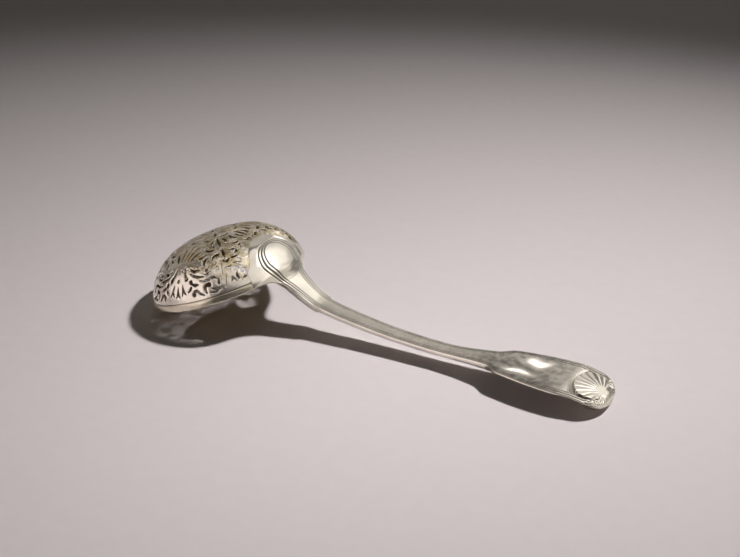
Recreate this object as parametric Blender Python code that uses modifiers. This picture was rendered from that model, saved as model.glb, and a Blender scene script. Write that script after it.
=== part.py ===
"""Sugar sifter spoon, lying face down on its rim and on the boss under the end of its handle.

Three soldered pieces: a raised and pierced bowl, the rim band under its edge, and a forged
handle whose drop laps over the back of the bowl. Metres, +Z up, handle along +X.
"""

import functools
import math

import bmesh
import bpy
import numpy as np
from mathutils import Vector
from mathutils.geometry import delaunay_2d_cdt

OBJECT_NAME = "sugar_sifter_spoon"

# Overall sizes
SPOON_LENGTH = 0.2052
CLEARANCE = 0.0003

# Bowl: a dome over a round mouth, a little flatter towards the handle
BOWL_RADIUS = 0.0341
BOWL_DEPTH = 0.0215
BOWL_TILT = math.radians(21.4)
SHEET_THICKNESS = 0.0010
DOME_PLAN_POWER = 2.74
DOME_WALL_POWER = 1.73
HEEL_WALL_POWER = 1.20
HEEL_INSET = 0.0022
HEEL_SPREAD = 4

# Rim band
BAND_HEIGHT = 0.0033
BAND_THICKNESS = 0.0016
BAND_LIP = 0.0003

# Drop of the handle, which laps over the bowl
DROP_THICKNESS = 0.0012
DROP_EDGE = 0.0004
DROP_FEATHER = 0.0060
DROP_RIM_ANGLE = math.radians(36.5)
FILLET_TURN = math.radians(7.0)
FILLET_REACH = 0.0025
NECK_SLOPE = math.radians(45.0)
NECK_BLEND = 0.0085

# Neck: straight down from the heel of the bowl, then bending into the stem
NECK_STRAIGHT = 0.0030
NECK_HOLLOW = 0.0004
NECK_HALF_WIDTH = 0.0068

# Stem: half widths, thickness and the heights of its upper face above the table
SHOULDER_REACH = 0.0164
SHOULDER_STEP = 0.0006
SHOULDER_HALF_WIDTH = 0.0059
STEM_ROOT_HALF_WIDTH = 0.0048
STEM_HALF_WIDTH = 0.0042
STEM_END_HALF_WIDTH = 0.0060
NECK_SIDE = 0.0024
SHOULDER_SIDE = 0.0023
STEM_SIDE = 0.0019
UNDER_CROWN = 0.0006
STEM_CROWN = 0.0001
UNDER_INSET = 0.06
SHOULDER_HEIGHT = 0.0133
STEM_UPPER_HEIGHT = 0.0098
STEM_MIDDLE_HEIGHT = 0.0078
STEM_LOW_HEIGHT = 0.0071
WAIST_BEFORE_FIDDLE = 0.0280

# Fiddle and its shell end, which turns down; a boss under the shell rests on the table
FIDDLE_LENGTH = 0.0428
FIDDLE_SHOULDER_RUN = 0.0075
FIDDLE_SHOULDER_HALF_WIDTH = 0.0102
FIDDLE_SWELL_BEFORE_SHELL = 0.0020
FIDDLE_HALF_WIDTH = 0.0133
FIDDLE_EDGE = 0.0012
FIDDLE_HEIGHT = 0.0086
SHELL_LENGTH = 0.0162
SHELL_HALF_WIDTH = 0.0124
SHELL_HEIGHT = 0.0084
SHELL_RISE = 0.0009
END_SHOULDER_HEIGHT = 0.0073
END_HEIGHT = 0.0042
END_ROUNDING = 0.0086
END_FLAT_HALF_WIDTH = 0.0024
BOSS_START = 0.0140
BOSS_FULL = 0.0080
BOSS_LEAVE = 0.0045
BOSS_END = 0.0006
BOSS_POWER = 5.0
BOSS_FULLNESS = 2.5

# Mesh fineness
RIM_STEPS = 72
BLANK_RINGS = 7
ACROSS = 10
OUTLINE_STEPS = 4
BALL_SIDES = 6
ARC_SAMPLES = 241
HALVINGS = 40
SHARP_ANGLE = math.radians(35)
FILLET_POINTS = 4
FLARE_STATIONS = 10
NECK_STATIONS = 8
STEM_STATIONS = 13
SHOULDER_STATIONS = 5
FIDDLE_STATIONS = 8
DROP_STATIONS = (0.004, 0.03, 0.09, 0.19, 0.32, 0.48, 0.64, 0.8)
END_STATIONS = (0.8, 0.6, 0.4, 0.22, 0.1, 0.03, 0.0)

# The piercing is drawn in millimetres on the flat blank and raised with it
PIERCING_MARGIN = 0.0008
SAW_BOLDNESS = 1.25
FAN_ANGLES = (-92.5, 92.5, 180.0)
DIVIDER_ANGLES = (-46.5, 46.5, -136.0, 136.0)

# Border of the drop on the same blank, from its top to the rim: reach, and share of the angle at the rim
DROP_BORDER = ((23.6, 0.0), (24.2, 0.26), (26.8, 0.54), (31.3, 0.73), (34.7, 0.83), (38.2, 0.964))


def dome_height(share, wall_power):
    """Height of the dome, as a share of its depth, at a share of the mouth's radius."""
    return np.maximum(0.0, 1.0 - share ** DOME_PLAN_POWER) ** (1.0 / wall_power)


def heel_weight(angle):
    """One towards the handle, fading to nothing at the sides."""
    return np.maximum(0.0, np.cos(angle)) ** HEEL_SPREAD


def mouth_radius(angle):
    return BOWL_RADIUS - HEEL_INSET * heel_weight(angle)


def wall_power(angle):
    return DOME_WALL_POWER + (HEEL_WALL_POWER - DOME_WALL_POWER) * heel_weight(angle)


def meridian(angle):
    """Radius, and length from the crown, along the dome's outside down to the mouth."""
    share = 1.0 - (1.0 - np.linspace(0.0, 1.0, ARC_SAMPLES)) ** 2
    radius = mouth_radius(angle) * share
    height = BOWL_DEPTH * dome_height(share, wall_power(angle))
    length = np.concatenate([[0.0], np.cumsum(np.hypot(np.diff(radius), np.diff(height)))])
    return radius, length


@functools.cache
def blank_radius():
    """Reach of the mouth in the drawing, so that the outermost hole keeps its margin to the band."""
    farthest = max(np.hypot(hole[:, 0], hole[:, 1]).max() for hole in all_holes())
    side_length = meridian(math.pi / 2)[1][-1]
    return farthest / (1.0 - (BAND_HEIGHT + CLEARANCE + PIERCING_MARGIN) / side_length)


def raised(flat):
    """Raise points of the flat blank onto the outside of the dome."""
    flat = np.asarray(flat, dtype=float)
    angle = np.arctan2(flat[:, 1], flat[:, 0])
    reach = np.hypot(flat[:, 0], flat[:, 1]) / blank_radius()
    points = np.empty((len(flat), 3))
    for index, (turn, part) in enumerate(zip(angle, reach)):
        radii, lengths = meridian(turn)
        radius = np.interp(part * lengths[-1], lengths, radii)
        height = BOWL_DEPTH * dome_height(radius / mouth_radius(turn), wall_power(turn))
        points[index] = (radius * math.cos(turn), radius * math.sin(turn), height)
    return points


def dome_radius_at(height, angle):
    """Radius of the dome's outside at a height above the mouth."""
    share = (1.0 - (height / BOWL_DEPTH) ** wall_power(angle)) ** (1.0 / DOME_PLAN_POWER)
    return mouth_radius(angle) * share


def blank_reach(height, angle):
    """Flat distance from the blank's centre that rises to a height above the mouth."""
    radii, lengths = meridian(angle)
    return blank_radius() * np.interp(dome_radius_at(height, angle), radii, lengths) / lengths[-1]


def smooth_run(points, steps):
    """Points along a smooth curve through the given points."""
    points = np.asarray(points, dtype=float)
    knots = np.arange(len(points))
    ends = np.vstack([2 * points[0] - points[1], points, 2 * points[-1] - points[-2]])
    places = np.linspace(0, len(points) - 1, steps)
    run = []
    for place in places:
        first = min(int(place), knots[-1] - 1)
        t = place - first
        a, b, c, d = ends[first:first + 4]
        run.append(0.5 * (2 * b + (c - a) * t + (2 * a - 5 * b + 4 * c - d) * t ** 2
                          + (3 * b - a - 3 * c + d) * t ** 3))
    return np.array(run)


def stroke(points, widths):
    """Outline of a pierced stroke: a smooth spine with a width at each of its points."""
    steps = max(OUTLINE_STEPS, len(points))
    spine = smooth_run(points, steps)
    wide = np.interp(np.linspace(0, len(points) - 1, steps), np.arange(len(points)), widths)
    along = np.gradient(spine, axis=0)
    along /= np.linalg.norm(along, axis=1)[:, None]
    wide = wide * SAW_BOLDNESS
    side = np.stack([-along[:, 1], along[:, 0]], axis=1) * wide[:, None] / 2
    start = spine[:1] - along[:1] * wide[0] / 2
    end = spine[-1:] + along[-1:] * wide[-1] / 2
    return np.vstack([start, spine - side, end, (spine + side)[::-1]])


def ball(centre, radius):
    turn = np.arange(BALL_SIDES) * 2 * math.pi / BALL_SIDES
    return np.asarray(centre) + radius * np.stack([np.cos(turn), np.sin(turn)], axis=1)


def forked_leaf(foot, lean):
    """A slender leaf that splits in two at its outer end."""
    half = [(0.0, 0.0), (0.35, 1.6), (0.75, 3.2), (1.5, 5.0), (0.7, 4.8), (0.0, 3.7)]
    outline = half + [(-across, out) for across, out in half[-2:0:-1]]
    turn = np.array([[math.cos(lean), math.sin(lean)], [-math.sin(lean), math.cos(lean)]])
    return np.asarray(outline) @ turn.T + np.asarray(foot)


def fan_holes():
    """A tied fan, drawn as (across, outwards) from the blank's centre along its axis."""
    holes = [forked_leaf((0.0, 34.3), 0.0), ball((0.0, 32.1), 0.85)]
    holes.append(stroke([(0.0, 22.6), (0.0, 18.0), (0.0, 13.4)], [0.5, 0.9, 0.4]))
    for side in (1, -1):
        holes.append(forked_leaf((side * 2.6, 33.5), side * 0.27))
        petal = [(side * 2.2, 26.4), (side * 3.3, 29.4), (side * 4.6, 31.4)]
        inner_ray = [(side * 1.7, 22.8), (side * 2.3, 19.0), (side * 3.2, 15.2)]
        outer_ray = [(side * 3.4, 23.2), (side * 4.6, 20.8), (side * 6.2, 18.0)]
        holes.append(stroke(petal, [0.4, 0.7, 1.6]))
        holes.append(stroke(inner_ray, [0.4, 0.9, 0.4]))
        holes.append(stroke(outer_ray, [0.4, 0.9, 0.4]))
    return holes


def scroll_holes():
    """The leafy scrolls on one side of a fan, drawn as (across, outwards)."""
    return [
        stroke([(7.3, 32.7), (8.4, 33.5), (10.0, 33.7), (11.7, 33.3)], [1.7, 0.7, 1.3, 0.3]),
        stroke([(7.9, 34.9), (7.5, 36.0), (6.5, 36.9)], [0.9, 1.0, 0.5]),
        stroke([(9.9, 37.6), (10.3, 36.3), (11.5, 36.0), (13.1, 36.8), (15.5, 37.1)],
               [1.8, 1.0, 0.9, 0.8, 0.3]),
        stroke([(16.9, 32.3), (15.7, 32.9), (15.2, 34.0), (15.8, 35.2), (16.7, 35.9)],
               [1.7, 1.1, 1.1, 0.9, 0.4]),
        stroke([(18.3, 33.5), (20.5, 33.1), (23.0, 32.3)], [0.3, 0.9, 0.3]),
        stroke([(18.3, 35.2), (20.0, 34.6), (21.9, 33.6)], [0.3, 0.8, 0.3]),
        stroke([(11.9, 31.5), (14.4, 31.1), (16.6, 29.7), (18.6, 28.5), (20.6, 28.8), (21.1, 30.2)],
               [0.3, 0.7, 0.9, 0.9, 0.9, 1.2]),
        stroke([(5.4, 26.6), (6.7, 27.5), (8.4, 27.8), (10.0, 26.8)], [0.2, 0.8, 1.2, 0.4]),
        stroke([(6.1, 28.9), (8.1, 29.8), (10.8, 30.0), (13.3, 29.4)], [0.3, 0.8, 0.8, 0.3]),
        ball((13.6, 26.5), 0.8),
        stroke([(12.4, 28.3), (14.4, 28.0), (16.2, 26.6)], [0.3, 0.8, 0.3]),
        stroke([(17.6, 23.6), (17.9, 24.7), (17.8, 25.8)], [0.5, 0.9, 0.3]),
        stroke([(11.6, 20.8), (11.0, 22.5), (11.4, 24.3)], [0.4, 1.0, 0.8]),
        stroke([(7.9, 21.6), (8.9, 21.0), (10.0, 19.4)], [0.9, 0.7, 0.4]),
        stroke([(8.4, 16.6), (9.6, 17.2), (11.2, 16.9), (12.3, 15.6)], [0.4, 0.9, 0.9, 0.4]),
        stroke([(14.2, 21.6), (14.0, 19.8), (15.1, 18.4)], [0.4, 0.9, 1.3]),
    ]


def divider_holes():
    """Strapwork panel between two fans."""
    return [
        np.array([(-1.9, 31.1), (1.9, 31.1), (0.4, 32.0), (0.0, 34.2), (-0.4, 32.0)]),
        np.array([(-1.5, 38.3), (0.0, 36.0), (1.5, 38.3), (0.0, 37.5)]),
        stroke([(-1.6, 27.4), (0.0, 28.6), (1.6, 27.4)], [0.4, 1.0, 0.4]),
        stroke([(0.0, 21.5), (0.0, 23.8), (0.0, 26.0)], [0.4, 1.0, 0.5]),
        stroke([(0.0, 11.8), (0.0, 15.0), (0.0, 18.8)], [0.4, 1.2, 0.5]),
        stroke([(1.9, 12.8), (3.1, 15.4), (2.6, 18.2)], [0.4, 1.1, 0.4]),
        stroke([(-1.9, 12.8), (-3.1, 15.4), (-2.6, 18.2)], [0.4, 1.1, 0.4]),
    ]


def heel_side_holes():
    """Scrolls between a divider and the drop, placed on the side of positive across."""
    return [
        stroke([(28.6, 20.3), (29.5, 19.0), (30.8, 20.0), (31.2, 21.6), (30.7, 23.0)],
               [1.7, 1.1, 1.0, 0.9, 0.4]),
        stroke([(25.3, 23.0), (25.1, 21.5), (25.9, 20.2), (27.1, 20.2)], [0.4, 0.8, 0.9, 0.6]),
        stroke([(26.6, 21.9), (27.4, 23.2), (28.6, 24.2)], [0.5, 0.9, 1.3]),
        stroke([(18.8, 13.6), (20.0, 12.4), (21.6, 12.6), (21.4, 14.0)], [0.5, 1.0, 0.9, 0.5]),
        stroke([(21.7, 16.9), (22.6, 16.0), (23.0, 14.8)], [0.8, 0.8, 0.4]),
        stroke([(21.6, 9.4), (20.6, 8.6), (20.4, 7.2)], [0.9, 0.8, 0.4]),
    ]


def crown_holes():
    """Leaves around the crown of the dome, drawn as (along the handle, across)."""
    holes = []
    for turn in np.radians(np.arange(0, 360, 45)):
        out = np.array([math.cos(turn), math.sin(turn)])
        holes.append(stroke([out * 3.0, out * 5.2, out * 7.6], [0.4, 1.1, 0.4]))
    for turn in np.radians(np.arange(22.5, 360, 45)):
        out = np.array([math.cos(turn), math.sin(turn)])
        across = np.array([-out[1], out[0]])
        arch = [out * 9.4 - across * 1.9, out * 10.6, out * 9.4 + across * 1.9]
        holes.append(stroke(arch, [0.4, 1.1, 0.4]))
    holes.append(stroke([(11.8, 0.0), (14.8, 0.0), (18.6, 0.0)], [0.4, 1.0, 0.4]))
    for side in (1, -1):
        holes.append(stroke([(12.0, side * 4.4), (13.8, side * 5.8), (16.4, side * 5.6)], [0.4, 1.0, 0.4]))
        holes.append(stroke([(16.4, side * 10.4), (17.9, side * 9.2), (18.4, side * 7.2)], [0.4, 1.0, 0.4]))
        holes.append(stroke([(20.9, side * 1.2), (21.2, side * 3.2), (20.0, side * 4.6)], [0.6, 0.9, 0.4]))
        holes.append(stroke([(14.0, side * 2.0), (15.8, side * 2.8), (18.0, side * 2.0)], [0.4, 0.9, 0.4]))
    return holes


def placed(outline, axis_degrees, side):
    """Turn an (across, outwards) outline to a fan's axis; side -1 mirrors it."""
    axis = math.radians(axis_degrees)
    outwards = np.array([math.cos(axis), math.sin(axis)])
    across = np.array([-outwards[1], outwards[0]]) * side
    return outline[:, :1] * across + outline[:, 1:] * outwards


def all_holes():
    holes = list(crown_holes())
    for axis in FAN_ANGLES:
        holes += [placed(hole, axis, 1) for hole in fan_holes()]
        for side in (1, -1):
            holes += [placed(hole, axis, side) for hole in scroll_holes()]
    for axis in DIVIDER_ANGLES:
        holes += [placed(hole, axis, 1) for hole in divider_holes()]
    holes += [placed(hole, FAN_ANGLES[0], 1) for hole in heel_side_holes()]
    holes += [placed(hole, FAN_ANGLES[1], -1) for hole in heel_side_holes()]
    return holes


def inside(points, outline):
    """Which points lie inside a closed outline."""
    result = np.zeros(len(points), dtype=bool)
    ahead = np.roll(outline, -1, axis=0)
    for (ax, ay), (bx, by) in zip(outline, ahead):
        spans = (ay > points[:, 1]) != (by > points[:, 1])
        crossing = ax + (points[:, 1] - ay) * (bx - ax) / (by - ay if by != ay else 1e-12)
        result ^= spans & (points[:, 0] < crossing)
    return result


def anticlockwise(outline):
    ahead = np.roll(outline, -1, axis=0)
    turn = np.sum(outline[:, 0] * ahead[:, 1] - outline[:, 1] * ahead[:, 0])
    return outline if turn > 0 else outline[::-1]


def blank_outline():
    edge = BAND_HEIGHT + CLEARANCE
    turns = np.arange(RIM_STEPS) * 2 * math.pi / RIM_STEPS
    reach = [blank_reach(edge, turn) for turn in turns]
    return np.stack([reach * np.cos(turns), reach * np.sin(turns)], axis=1)


def bending_points(outline, holes):
    """Points inside the blank, clear of the holes, that let it follow the dome."""
    spacing = blank_radius() / (BLANK_RINGS + 1)
    points = [np.zeros((1, 2))]
    for ring in range(1, BLANK_RINGS + 1):
        count = 6 * ring
        turn = (np.arange(count) + 0.5 * (ring % 2)) * 2 * math.pi / count
        points.append(spacing * ring * np.stack([np.cos(turn), np.sin(turn)], axis=1))
    points = np.vstack(points)
    borders = np.vstack([outline] + holes)
    gaps = np.linalg.norm(points[:, None, :] - borders[None, :, :], axis=2).min(axis=1)
    keep = gaps > spacing / 4
    for hole in holes:
        keep &= ~inside(points, hole)
    return points[keep]


def pierced_blank():
    """The flat pierced blank as points and triangles."""
    outline = blank_outline()
    holes = all_holes()
    loops = [outline] + holes
    points = []
    faces = []
    for loop in loops:
        faces.append(list(range(len(points), len(points) + len(loop))))
        points += [Vector(point) for point in anticlockwise(loop)]
    points += [Vector(point) for point in bending_points(outline, holes)]
    result = delaunay_2d_cdt(points, [], faces, 1, 1e-5)
    flat = np.array([tuple(point) for point in result[0]])
    triangles = [tri for tri, origin in zip(result[2], result[5]) if origin == [0]]
    return flat, triangles


def mesh_object(name, points, faces, collection, material, parent):
    mesh = bpy.data.meshes.new(name)
    mesh.from_pydata([tuple(point) for point in points], [], faces)
    mesh.validate()
    build = bmesh.new()
    build.from_mesh(mesh)
    loose = [vert for vert in build.verts if not vert.link_faces]
    bmesh.ops.delete(build, geom=loose, context="VERTS")
    build.to_mesh(mesh)
    build.free()
    mesh.shade_smooth()
    mesh.set_sharp_from_angle(angle=SHARP_ANGLE)
    piece = bpy.data.objects.new(name, mesh)
    piece.data.materials.append(material)
    piece.parent = parent
    collection.objects.link(piece)
    return piece


def silver(name, colour, roughness):
    material = bpy.data.materials.new(name)
    material.use_nodes = True
    shader = material.node_tree.nodes["Principled BSDF"]
    shader.inputs["Base Color"].default_value = (*colour, 1.0)
    shader.inputs["Metallic"].default_value = 1.0
    shader.inputs["Roughness"].default_value = roughness
    return material


def rim_centre():
    """Centre of the mouth: its lip touches the table and its wall bulges to the spoon's end."""
    share = np.linspace(0.0, 1.0, ARC_SAMPLES)
    bulge = (mouth_radius(math.pi) * share * math.cos(BOWL_TILT)
             + BOWL_DEPTH * dome_height(share, DOME_WALL_POWER) * math.sin(BOWL_TILT))
    return Vector((bulge.max() - SPOON_LENGTH / 2, 0.0, (BOWL_RADIUS - BAND_LIP) * math.sin(BOWL_TILT)))


def seat_on_mouth(piece):
    """Place a piece that is drawn in the frame of the bowl's mouth."""
    piece.location = rim_centre()
    piece.rotation_euler = (0.0, -BOWL_TILT, 0.0)


def to_world(points):
    """Points of the mouth's frame in the spoon's frame."""
    cos, sin = math.cos(BOWL_TILT), math.sin(BOWL_TILT)
    points = np.asarray(points)
    centre = np.array(rim_centre())
    turned = np.stack([points[:, 0] * cos - points[:, 2] * sin, points[:, 1],
                       points[:, 0] * sin + points[:, 2] * cos], axis=1)
    return centre + turned


def make_bowl(collection, parent):
    flat, triangles = pierced_blank()
    material = silver("bowl_silver", (0.78, 0.75, 0.69), 0.30)
    bowl = mesh_object("pierced_bowl", raised(flat), triangles, collection, material, parent)
    sheet = bowl.modifiers.new("sheet", "SOLIDIFY")
    sheet.thickness = SHEET_THICKNESS
    sheet.offset = -1.0
    seat_on_mouth(bowl)


def band_section(angle):
    """Section of the rim band as (radius, height), from the lip round to the inside.

    Its top is square to the wall of the bowl, as the edge of the sheet is.
    """
    outer = mouth_radius(angle)
    top = dome_radius_at(BAND_HEIGHT, angle)
    lean = math.atan2(top - dome_radius_at(BAND_HEIGHT + SHEET_THICKNESS, angle), SHEET_THICKNESS)
    return [
        (outer - BAND_LIP, 0.0),
        (outer, BAND_LIP),
        (outer, BAND_HEIGHT / 2),
        (top, BAND_HEIGHT),
        (top - BAND_THICKNESS * math.cos(lean), BAND_HEIGHT - BAND_THICKNESS * math.sin(lean)),
        (outer - BAND_THICKNESS, 0.0),
    ]


def make_band(collection, parent):
    """An open ring that runs round the tip from one side of the drop to the other."""
    start = DROP_RIM_ANGLE + CLEARANCE / BOWL_RADIUS
    turns = np.linspace(start, 2 * math.pi - start, RIM_STEPS)
    points = []
    for turn in turns:
        points += [(radius * math.cos(turn), radius * math.sin(turn), height)
                   for radius, height in band_section(turn)]
    material = silver("band_silver", (0.80, 0.77, 0.70), 0.25)
    faces = loft_faces(len(turns), len(points) // len(turns))
    seat_on_mouth(mesh_object("rim_band", points, faces, collection, material, parent))


def loft_faces(stations, count):
    """Faces of a closed loft whose sections each have the same number of points."""
    faces = [list(range(count))]
    for station in range(stations - 1):
        for index in range(count):
            after = (index + 1) % count
            low = station * count
            high = low + count
            faces.append([low + index, high + index, high + after, low + after])
    faces.append([(stations - 1) * count + index for index in range(count)][::-1])
    return faces


def heel():
    """Point of the mouth's edge under the handle, as (along, height)."""
    return to_world([(mouth_radius(0.0), 0.0, 0.0)])[0][[0, 2]]


def glide(knots, values, places):
    """Smooth curve through the knots that never swings past them."""
    knots = np.asarray(knots, dtype=float)
    values = np.asarray(values, dtype=float)
    step = np.diff(knots)
    slope = np.diff(values) / step
    tangent = np.concatenate([slope[:1], np.zeros(len(knots) - 2), slope[-1:]])
    for index in range(1, len(knots) - 1):
        before, after = slope[index - 1], slope[index]
        if before * after > 0:
            tangent[index] = 2 * before * after / (before + after)
    first = np.clip(np.searchsorted(knots, places) - 1, 0, len(step) - 1)
    t = (places - knots[first]) / step[first]
    return (values[first] * (1 + 2 * t) * (1 - t) ** 2
            + values[first + 1] * t ** 2 * (3 - 2 * t)
            + step[first] * t * (1 - t) * (tangent[first] * (1 - t) - tangent[first + 1] * t))


def ease(low, high, places):
    """Rise smoothly from 0 at low to 1 at high."""
    t = np.clip((places - low) / (high - low), 0.0, 1.0)
    return t * t * (3 - 2 * t)


def neck_run(points):
    """How far points of the spoon's frame lie down the slope of the neck, past the heel."""
    start = heel()
    along = points[:, 0] - start[0]
    down = start[1] - points[:, 2]
    return along * math.cos(NECK_SLOPE) + down * math.sin(NECK_SLOPE)


class Handle:
    """Sections of the handle: where they stand, how they lean and how wide and thick they are."""

    def __init__(self):
        self.heel_x, self.heel_z = heel()
        self.end_x = SPOON_LENGTH / 2
        self.shoulder_x = self.heel_x + SHOULDER_REACH
        self.fiddle_x = self.end_x - FIDDLE_LENGTH
        self.shell_x = self.end_x - SHELL_LENGTH
        self.waist_x = self.fiddle_x - WAIST_BEFORE_FIDDLE
        self.set_outline()
        self.set_heights()

    def set_outline(self):
        """Half widths: the drop and its fillet by run, the stem and fiddle by place along X."""
        turns = np.linspace(DROP_RIM_ANGLE, DROP_RIM_ANGLE - FILLET_TURN, FILLET_POINTS)
        rim = [(mouth_radius(turn) * math.cos(turn), mouth_radius(turn) * math.sin(turn), 0.0)
               for turn in turns]
        lap = [(reach * math.cos(part * DROP_RIM_ANGLE), reach * math.sin(part * DROP_RIM_ANGLE))
               for reach, part in DROP_BORDER]
        border = to_world(np.vstack([raised(lap), rim]))
        self.drop_runs = neck_run(border)
        self.drop_widths = border[:, 1]
        fiddle_mid_x = self.shell_x - FIDDLE_SWELL_BEFORE_SHELL
        self.stem_knots = [
            (self.shoulder_x, SHOULDER_HALF_WIDTH),
            (self.shoulder_x + SHOULDER_STEP, STEM_ROOT_HALF_WIDTH),
            (self.waist_x, STEM_HALF_WIDTH),
            (self.fiddle_x - FIDDLE_SHOULDER_RUN, STEM_END_HALF_WIDTH),
            (self.fiddle_x, FIDDLE_SHOULDER_HALF_WIDTH),
            (fiddle_mid_x, FIDDLE_HALF_WIDTH),
            (self.end_x - END_ROUNDING, SHELL_HALF_WIDTH),
        ]
        self.side_knots = [
            (self.shoulder_x, NECK_SIDE),
            (self.shoulder_x + SHOULDER_STEP, SHOULDER_SIDE),
            (self.waist_x, STEM_SIDE),
            (self.fiddle_x - FIDDLE_SHOULDER_RUN, STEM_SIDE),
            (self.fiddle_x, FIDDLE_EDGE),
            (self.end_x, FIDDLE_EDGE),
        ]

    def set_heights(self):
        """Upper face along the middle: straight down the neck, then the long curve of the stem."""
        slope = math.tan(NECK_SLOPE)
        lap = -self.drop_runs[0] * math.cos(NECK_SLOPE)
        neck_x = self.heel_x + np.array([-lap, -lap / 2, 0.0, NECK_STRAIGHT])
        bend_z = (self.heel_z - slope * NECK_STRAIGHT + SHOULDER_HEIGHT) / 2 - NECK_HOLLOW
        knots = [(x, self.heel_z + CLEARANCE - slope * (x - self.heel_x)) for x in neck_x]
        knots += [
            ((neck_x[-1] + self.shoulder_x) / 2, bend_z),
            (self.shoulder_x, SHOULDER_HEIGHT),
            ((self.shoulder_x * 2 + self.waist_x) / 3, STEM_UPPER_HEIGHT),
            ((self.shoulder_x + self.waist_x * 2) / 3, STEM_MIDDLE_HEIGHT),
            (self.waist_x, STEM_LOW_HEIGHT),
            (self.fiddle_x, FIDDLE_HEIGHT),
            (self.shell_x, SHELL_HEIGHT),
            (self.end_x - END_ROUNDING, END_SHOULDER_HEIGHT),
            (self.end_x, END_HEIGHT),
        ]
        self.height_knots = np.array(knots)

    def places(self):
        """Stations along X, closer where the outline turns."""
        first = self.height_knots[0][0]
        flare = self.heel_x + self.drop_runs[-FILLET_POINTS] * math.cos(NECK_SLOPE)
        neck_end = self.heel_x + NECK_STRAIGHT
        stem_end = self.fiddle_x - FIDDLE_SHOULDER_RUN
        runs = [
            first + (flare - first) * np.array(DROP_STATIONS),
            np.linspace(flare, neck_end, FLARE_STATIONS),
            np.linspace(neck_end, self.shoulder_x, NECK_STATIONS)[1:],
            np.array([self.shoulder_x + SHOULDER_STEP]),
            np.linspace(self.shoulder_x + SHOULDER_STEP, stem_end, STEM_STATIONS)[1:],
            np.linspace(stem_end, self.fiddle_x, SHOULDER_STATIONS)[1:],
            np.linspace(self.fiddle_x, self.end_x - END_ROUNDING, FIDDLE_STATIONS)[1:],
            self.end_x - END_ROUNDING * np.array(END_STATIONS),
        ]
        return np.concatenate(runs)

    def half_width(self, x, run):
        if x > self.end_x - END_ROUNDING:
            part = (x - self.end_x + END_ROUNDING) / END_ROUNDING
            round_part = math.sqrt(max(0.0, 1.0 - part ** 2))
            return END_FLAT_HALF_WIDTH + (SHELL_HALF_WIDTH - END_FLAT_HALF_WIDTH) * round_part
        if x >= self.shoulder_x:
            knots = np.array(self.stem_knots)
            return float(glide(knots[:, 0], knots[:, 1], x))
        if run <= self.drop_runs[-1]:
            return float(np.interp(run, self.drop_runs, self.drop_widths))
        fade = math.exp(-(run - self.drop_runs[-1]) / FILLET_REACH)
        part = (x - self.heel_x) / (self.shoulder_x - self.heel_x)
        neck = NECK_HALF_WIDTH + (SHOULDER_HALF_WIDTH - NECK_HALF_WIDTH) * part
        return neck + (self.drop_widths[-1] - neck) * fade

    def dome_reach(self, base, up, across):
        """Distance from a section's base, along its up direction, to just clear of the bowl."""
        low = np.full(len(across), -BOWL_DEPTH)
        high = np.full(len(across), BOWL_DEPTH)
        cos, sin = math.cos(BOWL_TILT), math.sin(BOWL_TILT)
        centre = rim_centre()
        for _ in range(HALVINGS):
            middle = (low + high) / 2
            x = base[0] + up[0] * middle - centre.x
            z = base[1] + up[1] * middle - centre.z
            along = x * cos + z * sin
            height = np.maximum(0.0, z * cos - x * sin)
            angle = np.arctan2(across, along)
            spread = (np.hypot(along, across) / (mouth_radius(angle) + CLEARANCE)) ** DOME_PLAN_POWER
            outside = spread + (height / (BOWL_DEPTH + CLEARANCE)) ** wall_power(angle) > 1.0
            high = np.where(outside, middle, high)
            low = np.where(outside, low, middle)
        return high

    def section(self, x):
        """One closed section: upper face from side to side, then the under face back."""
        base_z = float(glide(self.height_knots[:, 0], self.height_knots[:, 1], x))
        run = (x - self.heel_x) / math.cos(NECK_SLOPE)
        half = self.half_width(x, run)
        on_stem = ease(-NECK_BLEND / 3, NECK_BLEND * 2 / 3, run)
        lean = NECK_SLOPE * (1.0 - ease(self.heel_x + NECK_STRAIGHT / 2, self.shoulder_x, x))
        up = (math.sin(lean), math.cos(lean))
        share = np.linspace(-1.0, 1.0, ACROSS + 1)
        bulge = 1.0 - share ** 2
        seat = self.dome_reach((x, base_z), up, share * half) if on_stem < 1.0 else np.zeros(len(share))
        swell = ease(self.drop_runs[0], self.drop_runs[0] + DROP_FEATHER, run)
        drop = seat + DROP_EDGE + (DROP_THICKNESS - DROP_EDGE) * swell * (1.0 - np.abs(share) ** 3)
        shell = SHELL_RISE * ease(self.shell_x, self.shell_x + SHELL_LENGTH / 3, x)
        top = (1.0 - on_stem) * drop + on_stem * (STEM_CROWN + shell) * bulge
        sides = np.array(self.side_knots)
        side = float(glide(sides[:, 0], sides[:, 1], max(x, self.shoulder_x)))
        under = (1.0 - on_stem) * seat - on_stem * (side + UNDER_CROWN * bulge)
        boss = (ease(self.end_x - BOSS_START, self.end_x - BOSS_FULL, x)
                * (1.0 - ease(self.end_x - BOSS_LEAVE, self.end_x - BOSS_END, x)))
        boss = boss * np.minimum(1.0, BOSS_FULLNESS * bulge ** BOSS_POWER)
        under = under + boss * (-base_z - under)
        narrow = 1.0 - UNDER_INSET * on_stem
        upper = [(x + up[0] * rise, part * half, base_z + up[1] * rise)
                 for part, rise in zip(share, top)]
        lower = [(x + up[0] * rise, part * half * narrow, base_z + up[1] * rise)
                 for part, rise in zip(share, under)]
        return upper + lower[::-1]


def make_handle(collection, parent):
    handle = Handle()
    places = handle.places()
    points = []
    for x in places:
        points += handle.section(float(x))
    faces = loft_faces(len(places), 2 * (ACROSS + 1))
    material = silver("handle_silver", (0.80, 0.78, 0.72), 0.22)
    mesh_object("handle", points, faces, collection, material, parent)


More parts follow.
